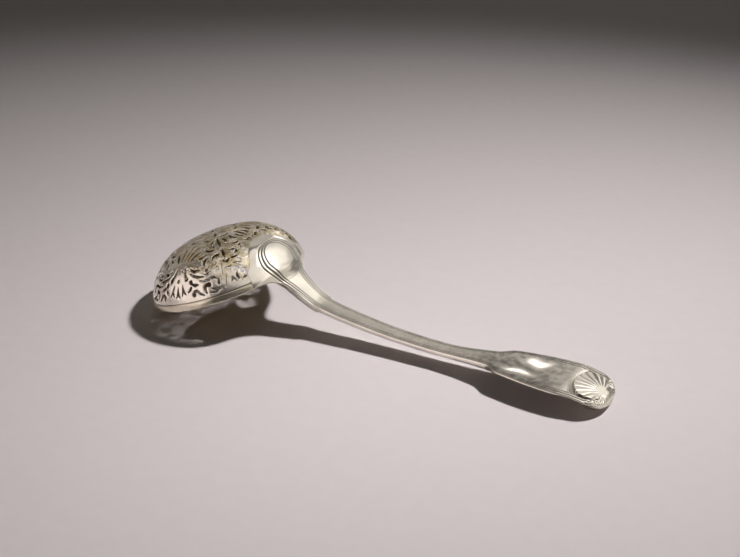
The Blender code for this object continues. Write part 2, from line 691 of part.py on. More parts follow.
def main():
    for item in list(bpy.data.objects):
        bpy.data.objects.remove(item, do_unlink=True)
    collection = bpy.data.collections.new(OBJECT_NAME)
    bpy.context.scene.collection.children.link(collection)
    parent = bpy.data.objects.new("spoon", None)
    collection.objects.link(parent)
    make_bowl(collection, parent)
    make_band(collection, parent)
    make_handle(collection, parent)


main()
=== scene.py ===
"""Looks of the sugar sifter spoon: worn, warm silver, lying face down on a pale studio table.

Shapes are worked out in millimetres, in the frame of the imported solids, and scaled to metres when
they become meshes.
"""

import math

import bpy
import numpy as np
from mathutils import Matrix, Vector
from mathutils.geometry import delaunay_2d_cdt
from mathutils.kdtree import KDTree


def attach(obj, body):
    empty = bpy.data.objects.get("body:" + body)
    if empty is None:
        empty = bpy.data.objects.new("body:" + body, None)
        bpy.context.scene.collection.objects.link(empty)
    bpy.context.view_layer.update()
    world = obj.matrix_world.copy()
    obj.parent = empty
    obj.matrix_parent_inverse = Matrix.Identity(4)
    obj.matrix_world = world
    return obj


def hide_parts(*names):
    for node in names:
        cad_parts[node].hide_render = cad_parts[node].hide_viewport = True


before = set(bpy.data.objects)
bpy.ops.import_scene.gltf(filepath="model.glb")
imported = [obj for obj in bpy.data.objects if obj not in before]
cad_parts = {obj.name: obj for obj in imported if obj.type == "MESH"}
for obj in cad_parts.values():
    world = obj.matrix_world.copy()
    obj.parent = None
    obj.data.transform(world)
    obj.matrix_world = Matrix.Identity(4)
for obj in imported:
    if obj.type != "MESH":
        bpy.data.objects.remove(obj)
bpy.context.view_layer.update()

MM = 0.001

# Overall sizes, as in the solids
SPOON_LENGTH = 205.2
CLEARANCE = 0.3

# Bowl
BOWL_RADIUS = 34.1
BOWL_DEPTH = 21.5
BOWL_TILT = math.radians(21.4)
SHEET_THICKNESS = 1.0
DOME_PLAN_POWER = 2.74
DOME_WALL_POWER = 1.73
HEEL_WALL_POWER = 1.20
HEEL_INSET = 2.2
HEEL_SPREAD = 4

# Rim band
BAND_HEIGHT = 3.3
BAND_THICKNESS = 1.6
BAND_LIP = 0.3
BAND_GROOVE = 0.5
BAND_SWELL = 0.12
BAND_TRIM = 0.06
BAND_TUCK = math.radians(1.5)
BAND_STAIN = 0.6
BAND_STAIN_POWER = 8
# The band's back, inside the bowl, is darker
BACK_DARKENING = (0.3, 0.2, 0.1)

# Sunk line on the band's top: inwards and down, as shares of its depth, and its stain
GROOVE_LINE = ((1.0, 0.6, 1.0), (0.3, 0.15, 0.7))

# Drop and neck of the handle
DROP_THICKNESS = 1.2
DROP_EDGE = 0.12
DROP_FEATHER = 4.0
DROP_ROUNDING = 6.0
HEEL_ROUNDING = 2.2
ROUNDING_RUN = (-12.0, -4.0)
RELIEF_RUN = 1.5
DROP_RIM_ANGLE = math.radians(36.5)
FILLET_TURN = math.radians(7.0)
FILLET_REACH = 2.5
NECK_SLOPE = math.radians(45.0)
NECK_BLEND = 8.5
NECK_STRAIGHT = 3.0
NECK_HOLLOW = 0.4
NECK_HALF_WIDTH = 6.8

# Stem
SHOULDER_REACH = 16.4
SHOULDER_STEP = 0.6
SHOULDER_HALF_WIDTH = 5.9
STEM_ROOT_HALF_WIDTH = 4.8
STEM_HALF_WIDTH = 4.2
STEM_END_HALF_WIDTH = 6.0
NECK_SIDE = 2.4
SHOULDER_SIDE = 2.3
STEM_SIDE = 1.9
STEM_END_SIDE = 2.5
UNDER_CROWN = 0.6
STEM_CROWN = 0.1
UNDER_INSET = 0.06
# The under face is darker
UNDER_DARKENING = 0.15
SIDE_SWELL = 0.04
EDGE_ROUND = 0.45
EDGE_WIDTH = 0.36
RUBBED_EDGE = 1.0
SHOULDER_HEIGHT = 13.3
STEM_UPPER_HEIGHT = 9.8
STEM_MIDDLE_HEIGHT = 7.8
STEM_LOW_HEIGHT = 7.1
WAIST_BEFORE_FIDDLE = 28.0

# Fiddle and shell end
FIDDLE_LENGTH = 42.8
FIDDLE_SHOULDER_RUN = 7.5
FIDDLE_SHOULDER_HALF_WIDTH = 10.2
FIDDLE_SWELL_BEFORE_SHELL = 2.0
FIDDLE_HALF_WIDTH = 13.3
FIDDLE_EDGE = 1.2
FIDDLE_HEIGHT = 8.6
SHELL_LENGTH = 16.2
SHELL_HALF_WIDTH = 12.4
SHELL_HEIGHT = 8.4
END_SHOULDER_HEIGHT = 7.3
END_HEIGHT = 4.2
END_ROUNDING = 8.6
END_FLAT_HALF_WIDTH = 2.4
BOSS_RISE = (14.0, 8.0)
BOSS_FALL = (0.6, 4.5)
BOSS_POWER = 5.0
BOSS_FULLNESS = 2.5

# Piercing, drawn on the flat blank, and the drop's border there as (reach, share of its angle)
PIERCING_MARGIN = 0.8
SAW_BOLDNESS = 1.25
CROWN_BOLDNESS = 0.95
FAN_ANGLES = (-92.5, 92.5, 180.0)
PANEL_ANGLES = (-46.5, 46.5, -136.0, 136.0)
DROP_BORDER = ((23.6, 0.0), (24.2, 0.26), (26.8, 0.54), (31.3, 0.73), (34.7, 0.83), (38.2, 0.964))

# Cuts with straight sides in the panels between the fans, as (across, outwards)
PANEL_CUTS = (
    ((-1.9, 31.1), (1.9, 31.1), (0.4, 32.0), (0.0, 34.2), (-0.4, 32.0)),
    ((-1.5, 38.3), (0.0, 36.0), (1.5, 38.3), (0.0, 37.5)),
)

# Sawn strokes as (across, outwards, width): in a fan, in the scrolls on one side of it, in a panel, and in
# the scrolls between a panel and the drop
FAN_STEM = ((0.0, 22.6, 0.5), (0.0, 18.0, 0.9), (0.0, 13.4, 0.4))
FAN_RAYS = (
    ((2.2, 26.4, 0.4), (3.3, 29.4, 0.7), (4.6, 31.4, 1.6)),
    ((1.7, 22.8, 0.4), (2.3, 19.0, 0.9), (3.2, 15.2, 0.4)),
    ((3.4, 23.2, 0.4), (4.6, 20.8, 0.9), (6.2, 18.0, 0.4)),
)
SCROLLS = (
    ((7.3, 32.7, 1.7), (8.4, 33.5, 0.7), (10.0, 33.7, 1.3), (11.7, 33.3, 0.3)),
    ((7.9, 34.9, 0.9), (7.5, 36.0, 1.0), (6.5, 36.9, 0.5)),
    ((9.9, 37.6, 1.8), (10.3, 36.3, 1.0), (11.5, 36.0, 0.9), (13.1, 36.8, 0.8), (15.5, 37.1, 0.3)),
    ((16.9, 32.3, 1.7), (15.7, 32.9, 1.1), (15.2, 34.0, 1.1), (15.8, 35.2, 0.9), (16.7, 35.9, 0.4)),
    ((18.3, 33.5, 0.3), (20.5, 33.1, 0.9), (23.0, 32.3, 0.3)),
    ((18.3, 35.2, 0.3), (20.0, 34.6, 0.8), (21.9, 33.6, 0.3)),
    ((11.9, 31.5, 0.3), (14.4, 31.1, 0.7), (16.6, 29.7, 0.9), (18.6, 28.5, 0.9), (20.6, 28.8, 0.9),
     (21.1, 30.2, 1.2)),
    ((5.4, 26.6, 0.2), (6.7, 27.5, 0.8), (8.4, 27.8, 1.2), (10.0, 26.8, 0.4)),
    ((6.1, 28.9, 0.3), (8.1, 29.8, 0.8), (10.8, 30.0, 0.8), (13.3, 29.4, 0.3)),
    ((12.4, 28.3, 0.3), (14.4, 28.0, 0.8), (16.2, 26.6, 0.3)),
    ((17.6, 23.6, 0.5), (17.9, 24.7, 0.9), (17.8, 25.8, 0.3)),
    ((11.6, 20.8, 0.4), (11.0, 22.5, 1.0), (11.4, 24.3, 0.8)),
    ((7.9, 21.6, 0.9), (8.9, 21.0, 0.7), (10.0, 19.4, 0.4)),
    ((8.4, 16.6, 0.4), (9.6, 17.2, 0.9), (11.2, 16.9, 0.9), (12.3, 15.6, 0.4)),
    ((14.2, 21.6, 0.4), (14.0, 19.8, 0.9), (15.1, 18.4, 1.3)),
)
PANEL_STROKES = (
    ((-1.6, 27.4, 0.4), (0.0, 28.6, 1.0), (1.6, 27.4, 0.4)),
    ((0.0, 21.5, 0.4), (0.0, 23.8, 1.0), (0.0, 26.0, 0.5)),
    ((0.0, 11.8, 0.4), (0.0, 15.0, 1.2), (0.0, 18.8, 0.5)),
    ((1.9, 12.8, 0.4), (3.1, 15.4, 1.1), (2.6, 18.2, 0.4)),
    ((-1.9, 12.8, 0.4), (-3.1, 15.4, 1.1), (-2.6, 18.2, 0.4)),
)
SIDE_SCROLLS = (
    ((28.6, 20.3, 1.7), (29.5, 19.0, 1.1), (30.8, 20.0, 1.0), (31.2, 21.6, 0.9), (30.7, 23.0, 0.4)),
    ((25.3, 23.0, 0.4), (25.1, 21.5, 0.8), (25.9, 20.2, 0.9), (27.1, 20.2, 0.6)),
    ((26.6, 21.9, 0.5), (27.4, 23.2, 0.9), (28.6, 24.2, 1.3)),
    ((18.8, 13.6, 0.5), (20.0, 12.4, 1.0), (21.6, 12.6, 0.9), (21.4, 14.0, 0.5)),
    ((21.7, 16.9, 0.8), (22.6, 16.0, 0.8), (23.0, 14.8, 0.4)),
    ((21.6, 9.4, 0.9), (20.6, 8.6, 0.8), (20.4, 7.2, 0.4)),
)

# Sawn strokes as (along the handle, across, width): on the crown, and before the drop
CROWN_LEAF = ((3.0, 0.0, 0.4), (5.2, 0.0, 1.1), (7.6, 0.0, 0.4))
CROWN_ARCH = ((9.4, -1.9, 0.4), (10.6, 0.0, 1.1), (9.4, 1.9, 0.4))
HEEL_STEM = ((11.8, 0.0, 0.4), (14.8, 0.0, 1.0), (18.6, 0.0, 0.4))
HEEL_SCROLLS = (
    ((12.0, 4.4, 0.4), (13.8, 5.8, 1.0), (16.4, 5.6, 0.4)),
    ((16.4, 10.4, 0.4), (17.9, 9.2, 1.0), (18.4, 7.2, 0.4)),
    ((20.9, 1.2, 0.6), (21.2, 3.2, 0.9), (20.0, 4.6, 0.4)),
    ((14.0, 2.0, 0.4), (15.8, 2.8, 0.9), (18.0, 2.0, 0.4)),
)

# Engraving on the bowl: contours round the holes, leaf and strap lines as (across, outwards), and rings
# of short shading strokes
CONTOUR_GAP = 0.62
CONTOUR_REACH = 26.5
LEAF_LINES = (
    ((19.9, 18.3), (19.4, 15.9), (20.8, 13.7), (23.3, 12.5)),
    ((20.9, 18.7), (20.9, 16.2), (22.3, 14.4), (24.3, 13.9)),
    ((22.3, 18.9), (22.7, 17.0), (24.0, 15.8), (25.8, 15.6)),
    ((23.4, 19.4), (24.6, 18.0), (26.9, 16.8)),
    ((24.6, 19.2), (26.2, 18.6), (28.2, 17.9)),
    ((18.2, 10.6), (20.0, 10.8), (21.8, 10.0), (23.2, 8.4)),
    ((18.9, 8.9), (20.6, 9.2), (22.6, 7.6)),
    ((19.0, 6.0), (20.6, 6.3), (22.4, 5.0)),
    ((18.6, 3.4), (20.2, 3.9), (22.2, 3.2)),
)
STRAP_LINES = (((2.1, 26.9), (2.9, 30.3), (3.7, 33.7)), ((2.4, 34.2), (3.4, 36.7), (4.4, 39.2)))
SHADING_RINGS = (2.0, 8.3, 9.9, 11.5, 13.1, 14.7, 16.3, 17.9, 19.5, 21.1, 22.7, 27.5)
SHADING_PITCH = 1.7
SHADING_LENGTH = 2.0
SHADING_LEAN = 0.5
SHADING_STAGGER = 0.37
SHADING_END = 21.0
ENGRAVED_SPACING = 0.25
ENGRAVED_WIDTH = 0.36
ENGRAVED_DEPTH = 0.20
ENGRAVED_CLEAR = 0.36
ENGRAVED_GAP = 0.55
ENGRAVED_SHORTEST = 4
CHAMFER_WIDTH = 0.22
CHAMFER_DEPTH = 0.10
CHAMFER_CLEAR = 0.154
HOLE_STAIN = 0.30
SKIN_INSET = 0.01

# Tint: heights between which the bowl's crown turns golden, painted gold glints of the gilt inside, and
# tarnish together with painted shade along the handle, darker towards the fiddle, as (x, amount)
GILT_AND_GLINT_HEIGHTS = (22.0, 31.5)
HANDLE_TARNISH_AND_SHADE = ((-30.0, 0.0), (5.0, 0.1), (40.0, 0.3), (58.0, 1.0), (74.0, 1.0), (80.0, 0.75),
                  (84.5, 0.6), (87.0, 0.0))

# Dents of use in the fiddle's flat, as (place before the end, across, length, width)
DENTS = ((32.0, 4.0, 4.0, 4.5), (36.0, -5.2, 5.5, 2.6))
DENT_SLOPE = 0.10
DENT_WOBBLE = 0.2
DENT_WAVE = 2.6
DENT_RUB = 1.8

# Threads struck along the handle, rounded, between sunk lines; they fade away before the end
THREAD_COUNT = 2
THREAD_DEPTH = 0.26
THREAD_SHARPNESS = 3
THREAD_SHOULDER = 0.25
# The sunk lines are darkened wider than they are cut: painted shade that also damps their highlights
THREAD_SHADE_POWER = 0.4
THREAD_SHADE_SHOULDER = 0.325
THREAD_END = (3.6, 5.6)
THREAD_EDGE = 0.40
STEM_THREADS = 2.1
FIDDLE_SHOULDER_THREADS = 2.0
FIDDLE_THREADS = 3.2
LOOP_CENTRE = -6.0
LOOP_INNER = 7.8
LOOP_OUTER_TOP = 8.9
LOOP_OUTER_SIDE = 11.65
NECK_THREADS_IN = ((LOOP_CENTRE, LOOP_INNER), (-2.2, 6.7), (0.4, 5.8), (3.4, 4.5), (7.7, 3.5),
                   (12.0, 3.1), (19.0, 2.7))
NECK_THREADS_OUT = ((LOOP_CENTRE, LOOP_OUTER_SIDE), (-2.3, 10.5), (0.5, 8.8), (5.2, 6.9), (11.3, 5.7),
                    (15.1, 5.2), (19.0, 4.7))

# Shell on the handle's end: flutes that fan out from a root near the tip
SHELL_ROOT = 3.0
ROOT_RADIUS = 2.4
SHELL_FAN = 11.6
SHELL_BODY = 1.10
SHELL_WALL = 0.40
SHELL_LEAD = 2.0
SHELL_START = (1.2, 0.4)
FAN_SOFTNESS = 0.05
FIELD_EDGE = (0.3, -0.5)
FLUTE_ANGLE = math.radians(15.5)
FLUTE_COUNT = 6
FLUTE_DEPTH = 0.46
FLUTE_GROOVE = 0.30
FLUTE_ROOT = 2.6
FLUTE_FULL = 9.28
FLUTE_POWER = 0.6
FLUTE_HOLLOW = 0.6
FLUTE_STAIN = 0.5
SCALLOP = 0.55
RIB_ANGLE = math.radians(9.0)
RIB_DEPTH = 0.16
RIB_START = (-0.4, 0.8)
RIB_REACH = (2.0, 3.4)
RIB_STAIN = 0.25
BACK_REACH = 11.0
ARC_RIDGE = 15.8
ARC_SAG = 2.0
ARC_HALF_SPAN = 9.0
ARC_RISE = 0.18
ARC_WIDTH = 0.26
SHELL_SUNK = 0.16
SUNK_RUN = 0.8
SUNK_STAIN = 0.6
SHELL_BORDER = 1.5
VOLUTE_ROOT = 2.6
VOLUTE_ACROSS = 7.4
VOLUTE_RADIUS = 1.7
VOLUTE_PITCH = 0.85
VOLUTE_RISE = 0.60
VOLUTE_SOFTNESS = 0.4

# Silver: clean metal, tint of its wash (painted gold glints on the bowl's crown, tarnish and painted shade
# on the handle), stain with painted shade in sunken places, roughness, stain in clouds over the rest,
# least share of the wash between its patches, and strength of the chased dimples in the wash
SILVERS = {
    "bowl_silver": ((0.92, 0.85, 0.77), (0.55, 0.45, 0.27), (0.09, 0.07, 0.04), 0.25, 0.25, 0.3, 0.8),
    # The gilt inside is darkened: painted shade for the bowl's dark inside
    "bowl_gilt_in_painted_shade": ((0.42, 0.29, 0.11), (0.48, 0.34, 0.12), (0.10, 0.07, 0.03), 0.30, 0.4, 0.4, 0.0),
    # The hole walls are dark, painted shade for the dark holes; towards the crown they turn to gilt
    "bowl_edge_in_painted_shade": ((0.22, 0.16, 0.08), (0.80, 0.60, 0.22), (0.07, 0.05, 0.03), 0.30, 0.3, 0.4, 0.0),
    "band_silver": ((0.92, 0.85, 0.76), (0.85, 0.76, 0.58), (0.10, 0.08, 0.05), 0.22, 0.2, 0.4, 0.0),
    # The handle's dark tint is tarnish together with painted shade
    "handle_silver": ((0.92, 0.86, 0.77), (0.18, 0.17, 0.147), (0.045, 0.038, 0.028), 0.18, 0.18, 0.62, 0.0),
}
METALLIC = 0.82
# Share of the sunken marks, stain and painted shade, that darkens the silver
STAIN_AND_SHADE_HOLD = 0.95
STAIN_ROUGHNESS = 0.08

# Patterns in the silver as (scale, detail) of a noise, the part of it that shows, and bumps in metres
CLOUDS = (120.0, 6.0)
CLOUD_RANGE = (0.40, 0.75)
PATCHES = (380.0, 5.0)
PATCH_RANGE = (0.42, 0.60)
SCRATCHES = (1.0, 4.0)
SCRATCH_SCALE = (600.0, 1800.0, 1800.0)
SCRATCH_TURN = (0.0, 0.0, 0.25)
SCRATCH_STRENGTH = 0.05
SCRATCH_DEPTH = 0.0001
DIMPLES = (500.0, 3.0)
DIMPLE_DEPTH = 0.0004

# Paper table
PAPER_SIZE = 6.0
PAPER_GRAIN = 900.0
PAPER_ROUGHNESS = 0.85
PAPER_DARK = (0.66, 0.597, 0.602, 1.0)
PAPER_PALE = (0.70, 0.636, 0.641, 1.0)

# Light: a key, and cards as (name, place, target, width and height, power, colour)
KEY_PLACE = (463.0, 572.0, 1071.0)
KEY_TARGET = (10.0, -35.0, 0.0)
KEY_SIZE = (110.0, 110.0)
KEY_POWER = 1.07
KEY_COLOUR = (1.0, 0.99, 0.98)
KEY_SPREAD = math.radians(44.0)
CARDS = (
    ("key_card", KEY_PLACE, KEY_TARGET, (680.0, 680.0), 2.1, KEY_COLOUR),
    ("far_card", (205.0, 540.0, 490.0), (20.0, 0.0, 15.0), (780.0, 500.0), 0.49, (1.0, 0.95, 0.87)),
    ("right_card", (560.0, 200.0, 270.0), (0.0, 0.0, 10.0), (950.0, 650.0), 0.80, (1.0, 0.94, 0.84)),
    ("top_card", (200.0, -60.0, 750.0), (200.0, -60.0, 0.0), (1300.0, 1200.0), 3.0, (1.0, 0.96, 0.92)),
    ("left_card", (-510.0, -489.0, 254.0), (-70.0, 0.0, 15.0), (1090.0, 860.0), 2.7, (1.0, 0.90, 0.86)),
    ("back_card", (-480.0, 540.0, 230.0), (40.0, 0.0, 10.0), (1300.0, 800.0), 0.82, (1.0, 0.93, 0.87)),
    ("glow", (155.0, 490.0, 480.0), (20.0, 0.0, 15.0), (240.0, 300.0), 0.110, (1.0, 0.98, 0.95)),
    ("spark", (-226.0, 794.0, 308.0), (72.0, 0.0, 8.0), (190.0, 190.0), 0.20, (1.0, 0.98, 0.95)),
)
ROOM_COLOUR = (0.032, 0.031, 0.026, 1.0)

# Camera, fitted to the round rim and the handle in the photograph
CAMERA_PLACE = (264.08, -468.05, 295.45)
CAMERA_TARGET = (-31.34, 51.78, 0.0)
CAMERA_LENS = 72.97
CAMERA_SENSOR = 36.0
NEAREST_SEEN = 0.01

# Mesh fineness
RIM_STEPS = 288
BLANK_SPACING = 1.1
BLANK_CLEAR = 0.40
SPINE_STEPS = 6
SPINE_SHORTEST = 0.03
ROUND_END_STEPS = 6
LEAF_POINTS = 10
NOTCH_POINTS = 7
BALL_SIDES = 16
SHADING_POINTS = 5
LIP_POINTS = 6
FACE_STEPS = 8
DROP_POINTS = 60
ARC_SAMPLES = 121
HALVINGS = 32
FILLET_POINTS = 4
FIELD_POINTS = 60
THREAD_POINTS = 44
EDGE_POINTS = 10
THREAD_MARGIN = 0.3
CLOSING_RUN = 6.0
UNDER_POINTS = 33
SIDE_PARTS = (0.05, 0.12, 0.25, 0.5, 0.78, 0.95)
FIELD_SHARES = (0.25, 0.8)
HOLE_BEVEL = 0.07
BEVEL_ANGLE = math.radians(50.0)
SAME_PLACE = 0.01
MERGED = 1e-5
TINY = 1e-12
TANGENT_STEP = 0.05

# Stations along the handle: a place, the distance on from it, and the spacing from there to the next
STATIONS = (
    ("drop", 0.02, 0.04),
    ("drop", 0.6, 0.10),
    ("drop", 6.0, 0.12),
    ("heel", 0.0, 0.16),
    ("heel", 6.0, 0.40),
    ("shoulder", -0.2, 0.08),
    ("shoulder", SHOULDER_STEP + 0.2, 0.60),
    ("fiddle", -FIDDLE_SHOULDER_RUN, 0.30),
    ("fiddle", 4.0, 0.50),
    ("end", -ARC_RIDGE - 1.5, 0.10),
    ("end", -1.0, 0.06),
    ("end", 0.0, 0.06),
)


def polar(radius, angle):
    """Flat points at the given distances and angles."""
    return np.stack([radius * np.cos(angle), radius * np.sin(angle)], axis=1)


def unit(rows):
    """The same vectors, each made one long."""
    return rows / np.linalg.norm(rows, axis=1)[:, None]


def left_of(along):
    """Flat vectors turned a quarter turn to the left."""
    return np.stack([-along[:, 1], along[:, 0]], axis=1)


def dome_height(share, power):
    """Height of the dome, as a share of its depth, at a share of the mouth's radius."""
    return np.maximum(0.0, 1.0 - share ** DOME_PLAN_POWER) ** (1.0 / power)


def heel_weight(angle):
    """One towards the handle, fading to nothing at the sides."""
    return np.maximum(0.0, np.cos(angle)) ** HEEL_SPREAD


def mouth_radius(angle):
    return BOWL_RADIUS - HEEL_INSET * heel_weight(angle)


def wall_power(angle):
    return DOME_WALL_POWER + (HEEL_WALL_POWER - DOME_WALL_POWER) * heel_weight(angle)


def meridians(angles):
    """Radius, and length from the crown, along the dome's outside for each angle."""
    share = 1.0 - (1.0 - np.linspace(0.0, 1.0, ARC_SAMPLES)) ** 2
    radius = mouth_radius(angles)[:, None] * share
    height = BOWL_DEPTH * dome_height(share, wall_power(angles)[:, None])
    steps = np.hypot(np.diff(radius, axis=1), np.diff(height, axis=1))
    length = np.concatenate([np.zeros((len(angles), 1)), np.cumsum(steps, axis=1)], axis=1)
    return radius, length


def dome_radius_at(height, angle):
    """Radius of the dome's outside at a height above the mouth."""
    share = (1.0 - (height / BOWL_DEPTH) ** wall_power(angle)) ** (1.0 / DOME_PLAN_POWER)
    return mouth_radius(angle) * share


def raised(flat):
    """Raise points of the flat blank onto the outside of the dome."""
    flat = np.asarray(flat, dtype=float)
    angle = np.arctan2(flat[:, 1], flat[:, 0])
    radii, lengths = meridians(angle)
    reach = np.hypot(flat[:, 0], flat[:, 1]) / BLANK_RADIUS * lengths[:, -1]
    after = np.clip((lengths < reach[:, None]).sum(axis=1), 1, ARC_SAMPLES - 1)
    rows = np.arange(len(flat))
    low, high = lengths[rows, after - 1], lengths[rows, after]
    part = np.clip((reach - low) / (high - low), 0.0, 1.0)
    radius = radii[rows, after - 1] * (1.0 - part) + radii[rows, after] * part
    height = BOWL_DEPTH * dome_height(radius / mouth_radius(angle), wall_power(angle))
    return np.column_stack([polar(radius, angle), height])


def blank_reach(height, angles):
    """Flat distance from the blank's centre that rises to a height above the mouth."""
    radii, lengths = meridians(angles)
    found = [np.interp(dome_radius_at(height, angle), radius, length) / length[-1]
             for angle, radius, length in zip(angles, radii, lengths)]
    return BLANK_RADIUS * np.array(found)


def smooth_run(points, steps):
    """Points along a smooth curve through the given points."""
    points = np.asarray(points, dtype=float)
    ends = np.vstack([2 * points[0] - points[1], points, 2 * points[-1] - points[-2]])
    places = np.linspace(0, len(points) - 1, steps)
    first = np.minimum(places.astype(int), len(points) - 2)
    t = (places - first)[:, None]
    a, b, c, d = (ends[first + shift] for shift in range(4))
    return 0.5 * (2 * b + (c - a) * t + (2 * a - 5 * b + 4 * c - d) * t ** 2
                  + (3 * b - a - 3 * c + d) * t ** 3)


def forward_only(edge, along):
    """Drop the points of an offset edge that run back on themselves in a tight bend."""
    kept = [edge[0]]
    for point, heading in zip(edge[1:], along[1:]):
        if np.dot(point - kept[-1], heading) > SPINE_SHORTEST:
            kept.append(point)
    return np.array(kept)


def stroke(rows, bold=SAW_BOLDNESS):
    """Outline of a stroke with round ends: a smooth spine through rows of a place and a width."""
    rows = np.asarray(rows, dtype=float)
    run = smooth_run(rows, SPINE_STEPS * (len(rows) - 1) + 1)
    spine = run[:, :2]
    wide = np.maximum(run[:, 2], rows[:, 2].min()) * bold
    along = unit(np.gradient(spine, axis=0))
    side = left_of(along)
    right = forward_only(spine - side * wide[:, None] / 2, along)
    left = forward_only(spine + side * wide[:, None] / 2, along)[::-1]
    turns = np.linspace(-math.pi / 2, math.pi / 2, ROUND_END_STEPS + 1)[1:-1, None]
    end = spine[-1] + wide[-1] / 2 * (np.cos(turns) * along[-1] + np.sin(turns) * side[-1])
    start = spine[0] - wide[0] / 2 * (np.cos(turns) * along[0] + np.sin(turns) * side[0])
    return np.vstack([right, end, left, start])


def ball(centre, radius):
    turn = np.arange(BALL_SIDES) * 2 * math.pi / BALL_SIDES
    return np.asarray(centre) + polar(radius, turn)


def turned(points, angle):
    """Flat points turned anticlockwise about the centre."""
    cos, sin = math.cos(angle), math.sin(angle)
    return points @ np.array([[cos, sin], [-sin, cos]])


def placed(outline, axis, side):
    """Turn an (across, outwards) outline to an axis in degrees; side -1 mirrors it."""
    return turned(np.asarray(outline)[:, ::-1] * (1, side), math.radians(axis))


def forked_leaf(foot, lean):
    """A slender leaf that splits in two at its outer end."""
    half = smooth_run([(0.0, 0.0), (0.35, 1.6), (0.75, 3.2), (1.5, 5.0)], LEAF_POINTS)
    notch = smooth_run([(1.5, 5.0), (0.7, 4.8), (0.0, 3.7)], NOTCH_POINTS)
    right = np.vstack([half, notch[1:]])
    outline = np.vstack([right, (right * (-1, 1))[-2:0:-1]])
    return turned(outline, -lean) + foot


def fan_holes():
    """A tied fan, drawn as (across, outwards) from the blank's centre along its axis."""
    holes = [forked_leaf((0.0, 34.3), 0.0), ball((0.0, 32.1), 0.85), stroke(FAN_STEM)]
    for side in (1, -1):
        holes.append(forked_leaf((side * 2.6, 33.5), side * 0.27))
        holes += [stroke(np.array(ray) * (side, 1, 1)) for ray in FAN_RAYS]
    return holes


def scroll_holes():
    """The leafy scrolls on one side of a fan, drawn as (across, outwards)."""
    return [stroke(rows) for rows in SCROLLS] + [ball((13.6, 26.5), 0.8)]


def crown_holes():
    """Leaves and arches around the crown of the dome, and scrolls between it and the drop."""
    leaf = stroke(CROWN_LEAF, CROWN_BOLDNESS)
    arch = stroke(CROWN_ARCH, CROWN_BOLDNESS)
    holes = [turned(leaf, turn) for turn in np.radians(np.arange(0, 360, 45))]
    holes += [turned(arch, turn) for turn in np.radians(np.arange(22.5, 360, 45))]
    holes.append(stroke(HEEL_STEM))
    for side in (1, -1):
        holes += [stroke(np.array(rows) * (1, side, 1)) for rows in HEEL_SCROLLS]
    return holes


def all_holes():
    """Outlines of all holes on the flat blank."""
    holes = crown_holes()
    for axis in FAN_ANGLES:
        holes += [placed(hole, axis, 1) for hole in fan_holes()]
        for side in (1, -1):
            holes += [placed(hole, axis, side) for hole in scroll_holes()]
    for axis in PANEL_ANGLES:
        holes += [placed(cut, axis, 1) for cut in PANEL_CUTS]
        holes += [placed(stroke(rows), axis, 1) for rows in PANEL_STROKES]
    for axis, side in ((FAN_ANGLES[0], 1), (FAN_ANGLES[1], -1)):
        holes += [placed(stroke(rows), axis, side) for rows in SIDE_SCROLLS]
    return holes


def inside(points, outline):
    """Which points lie inside a closed outline."""
    result = np.zeros(len(points), dtype=bool)
    for (ax, ay), (bx, by) in zip(outline, np.roll(outline, -1, axis=0)):
        spans = (ay > points[:, 1]) != (by > points[:, 1])
        crossing = ax + (points[:, 1] - ay) * (bx - ax) / (by - ay if by != ay else TINY)
        result ^= spans & (points[:, 0] < crossing)
    return result


def anticlockwise(outline):
    ahead = np.roll(outline, -1, axis=0)
    turn = np.sum(outline[:, 0] * ahead[:, 1] - outline[:, 1] * ahead[:, 0])
    return outline if turn > 0 else outline[::-1]


def nearest(points, targets):
    """Distance from each flat point to the nearest target."""
    tree = KDTree(len(targets))
    for index, (x, y) in enumerate(targets):
        tree.insert((x, y, 0.0), index)
    tree.balance()
    return np.array([tree.find((x, y, 0.0))[2] for x, y in points])


def blank_grid(reach):
    """Points of an even triangular grid over the blank."""
    rows = np.arange(-reach, reach, BLANK_SPACING * math.sqrt(3) / 2)
    columns = np.arange(-reach, reach, BLANK_SPACING)
    points = [(x + (row % 2) * BLANK_SPACING / 2, y) for row, y in enumerate(rows) for x in columns]
    return np.array(points)


def widened(outline, gap):
    """Points a little outside a hole's outline."""
    outline = anticlockwise(outline)
    along = unit(np.roll(outline, -1, axis=0) - np.roll(outline, 1, axis=0))
    return outline - gap * left_of(along)


def engraved_lines():
    """Engraved lines on the flat blank: leaves, outlines round the upper holes, straps, shading strokes."""
    lines = []
    for line in LEAF_LINES:
        line = smooth_run(line, SPINE_STEPS * len(line))
        lines += [placed(line, FAN_ANGLES[0], 1), placed(line, FAN_ANGLES[1], -1)]
    for hole in HOLES:
        if np.linalg.norm(hole.mean(axis=0)) > CONTOUR_REACH:
            continue
        contour = widened(hole, CONTOUR_GAP)
        half = len(contour) // 2
        lines += [contour[:half], contour[half:]]
    for axis in PANEL_ANGLES:
        for side in (1, -1):
            for strap in STRAP_LINES:
                lines.append(placed(strap, axis, side))
    for ring, reach in enumerate(SHADING_RINGS):
        count = int(2 * math.pi * reach / SHADING_PITCH)
        lean = SHADING_LEAN * (1 if ring % 2 else -1)
        part = np.linspace(-0.5, 0.5, SHADING_POINTS) * SHADING_LENGTH
        for turn in np.arange(count) * 2 * math.pi / count + SHADING_STAGGER * ring:
            radius = reach + lean * part + part ** 2 / SHADING_LENGTH
            line = polar(radius, turn + part / reach)
            if line[:, 0].max() < SHADING_END:
                lines.append(line)
    return lines


def even_run(line, spacing):
    """Points at even spacing along a line."""
    length = np.concatenate([[0.0], np.cumsum(np.linalg.norm(np.diff(line, axis=0), axis=1))])
    places = np.linspace(0.0, length[-1], max(2, int(length[-1] / spacing) + 1))
    return np.stack([np.interp(places, length, line[:, axis]) for axis in (0, 1)], axis=1)


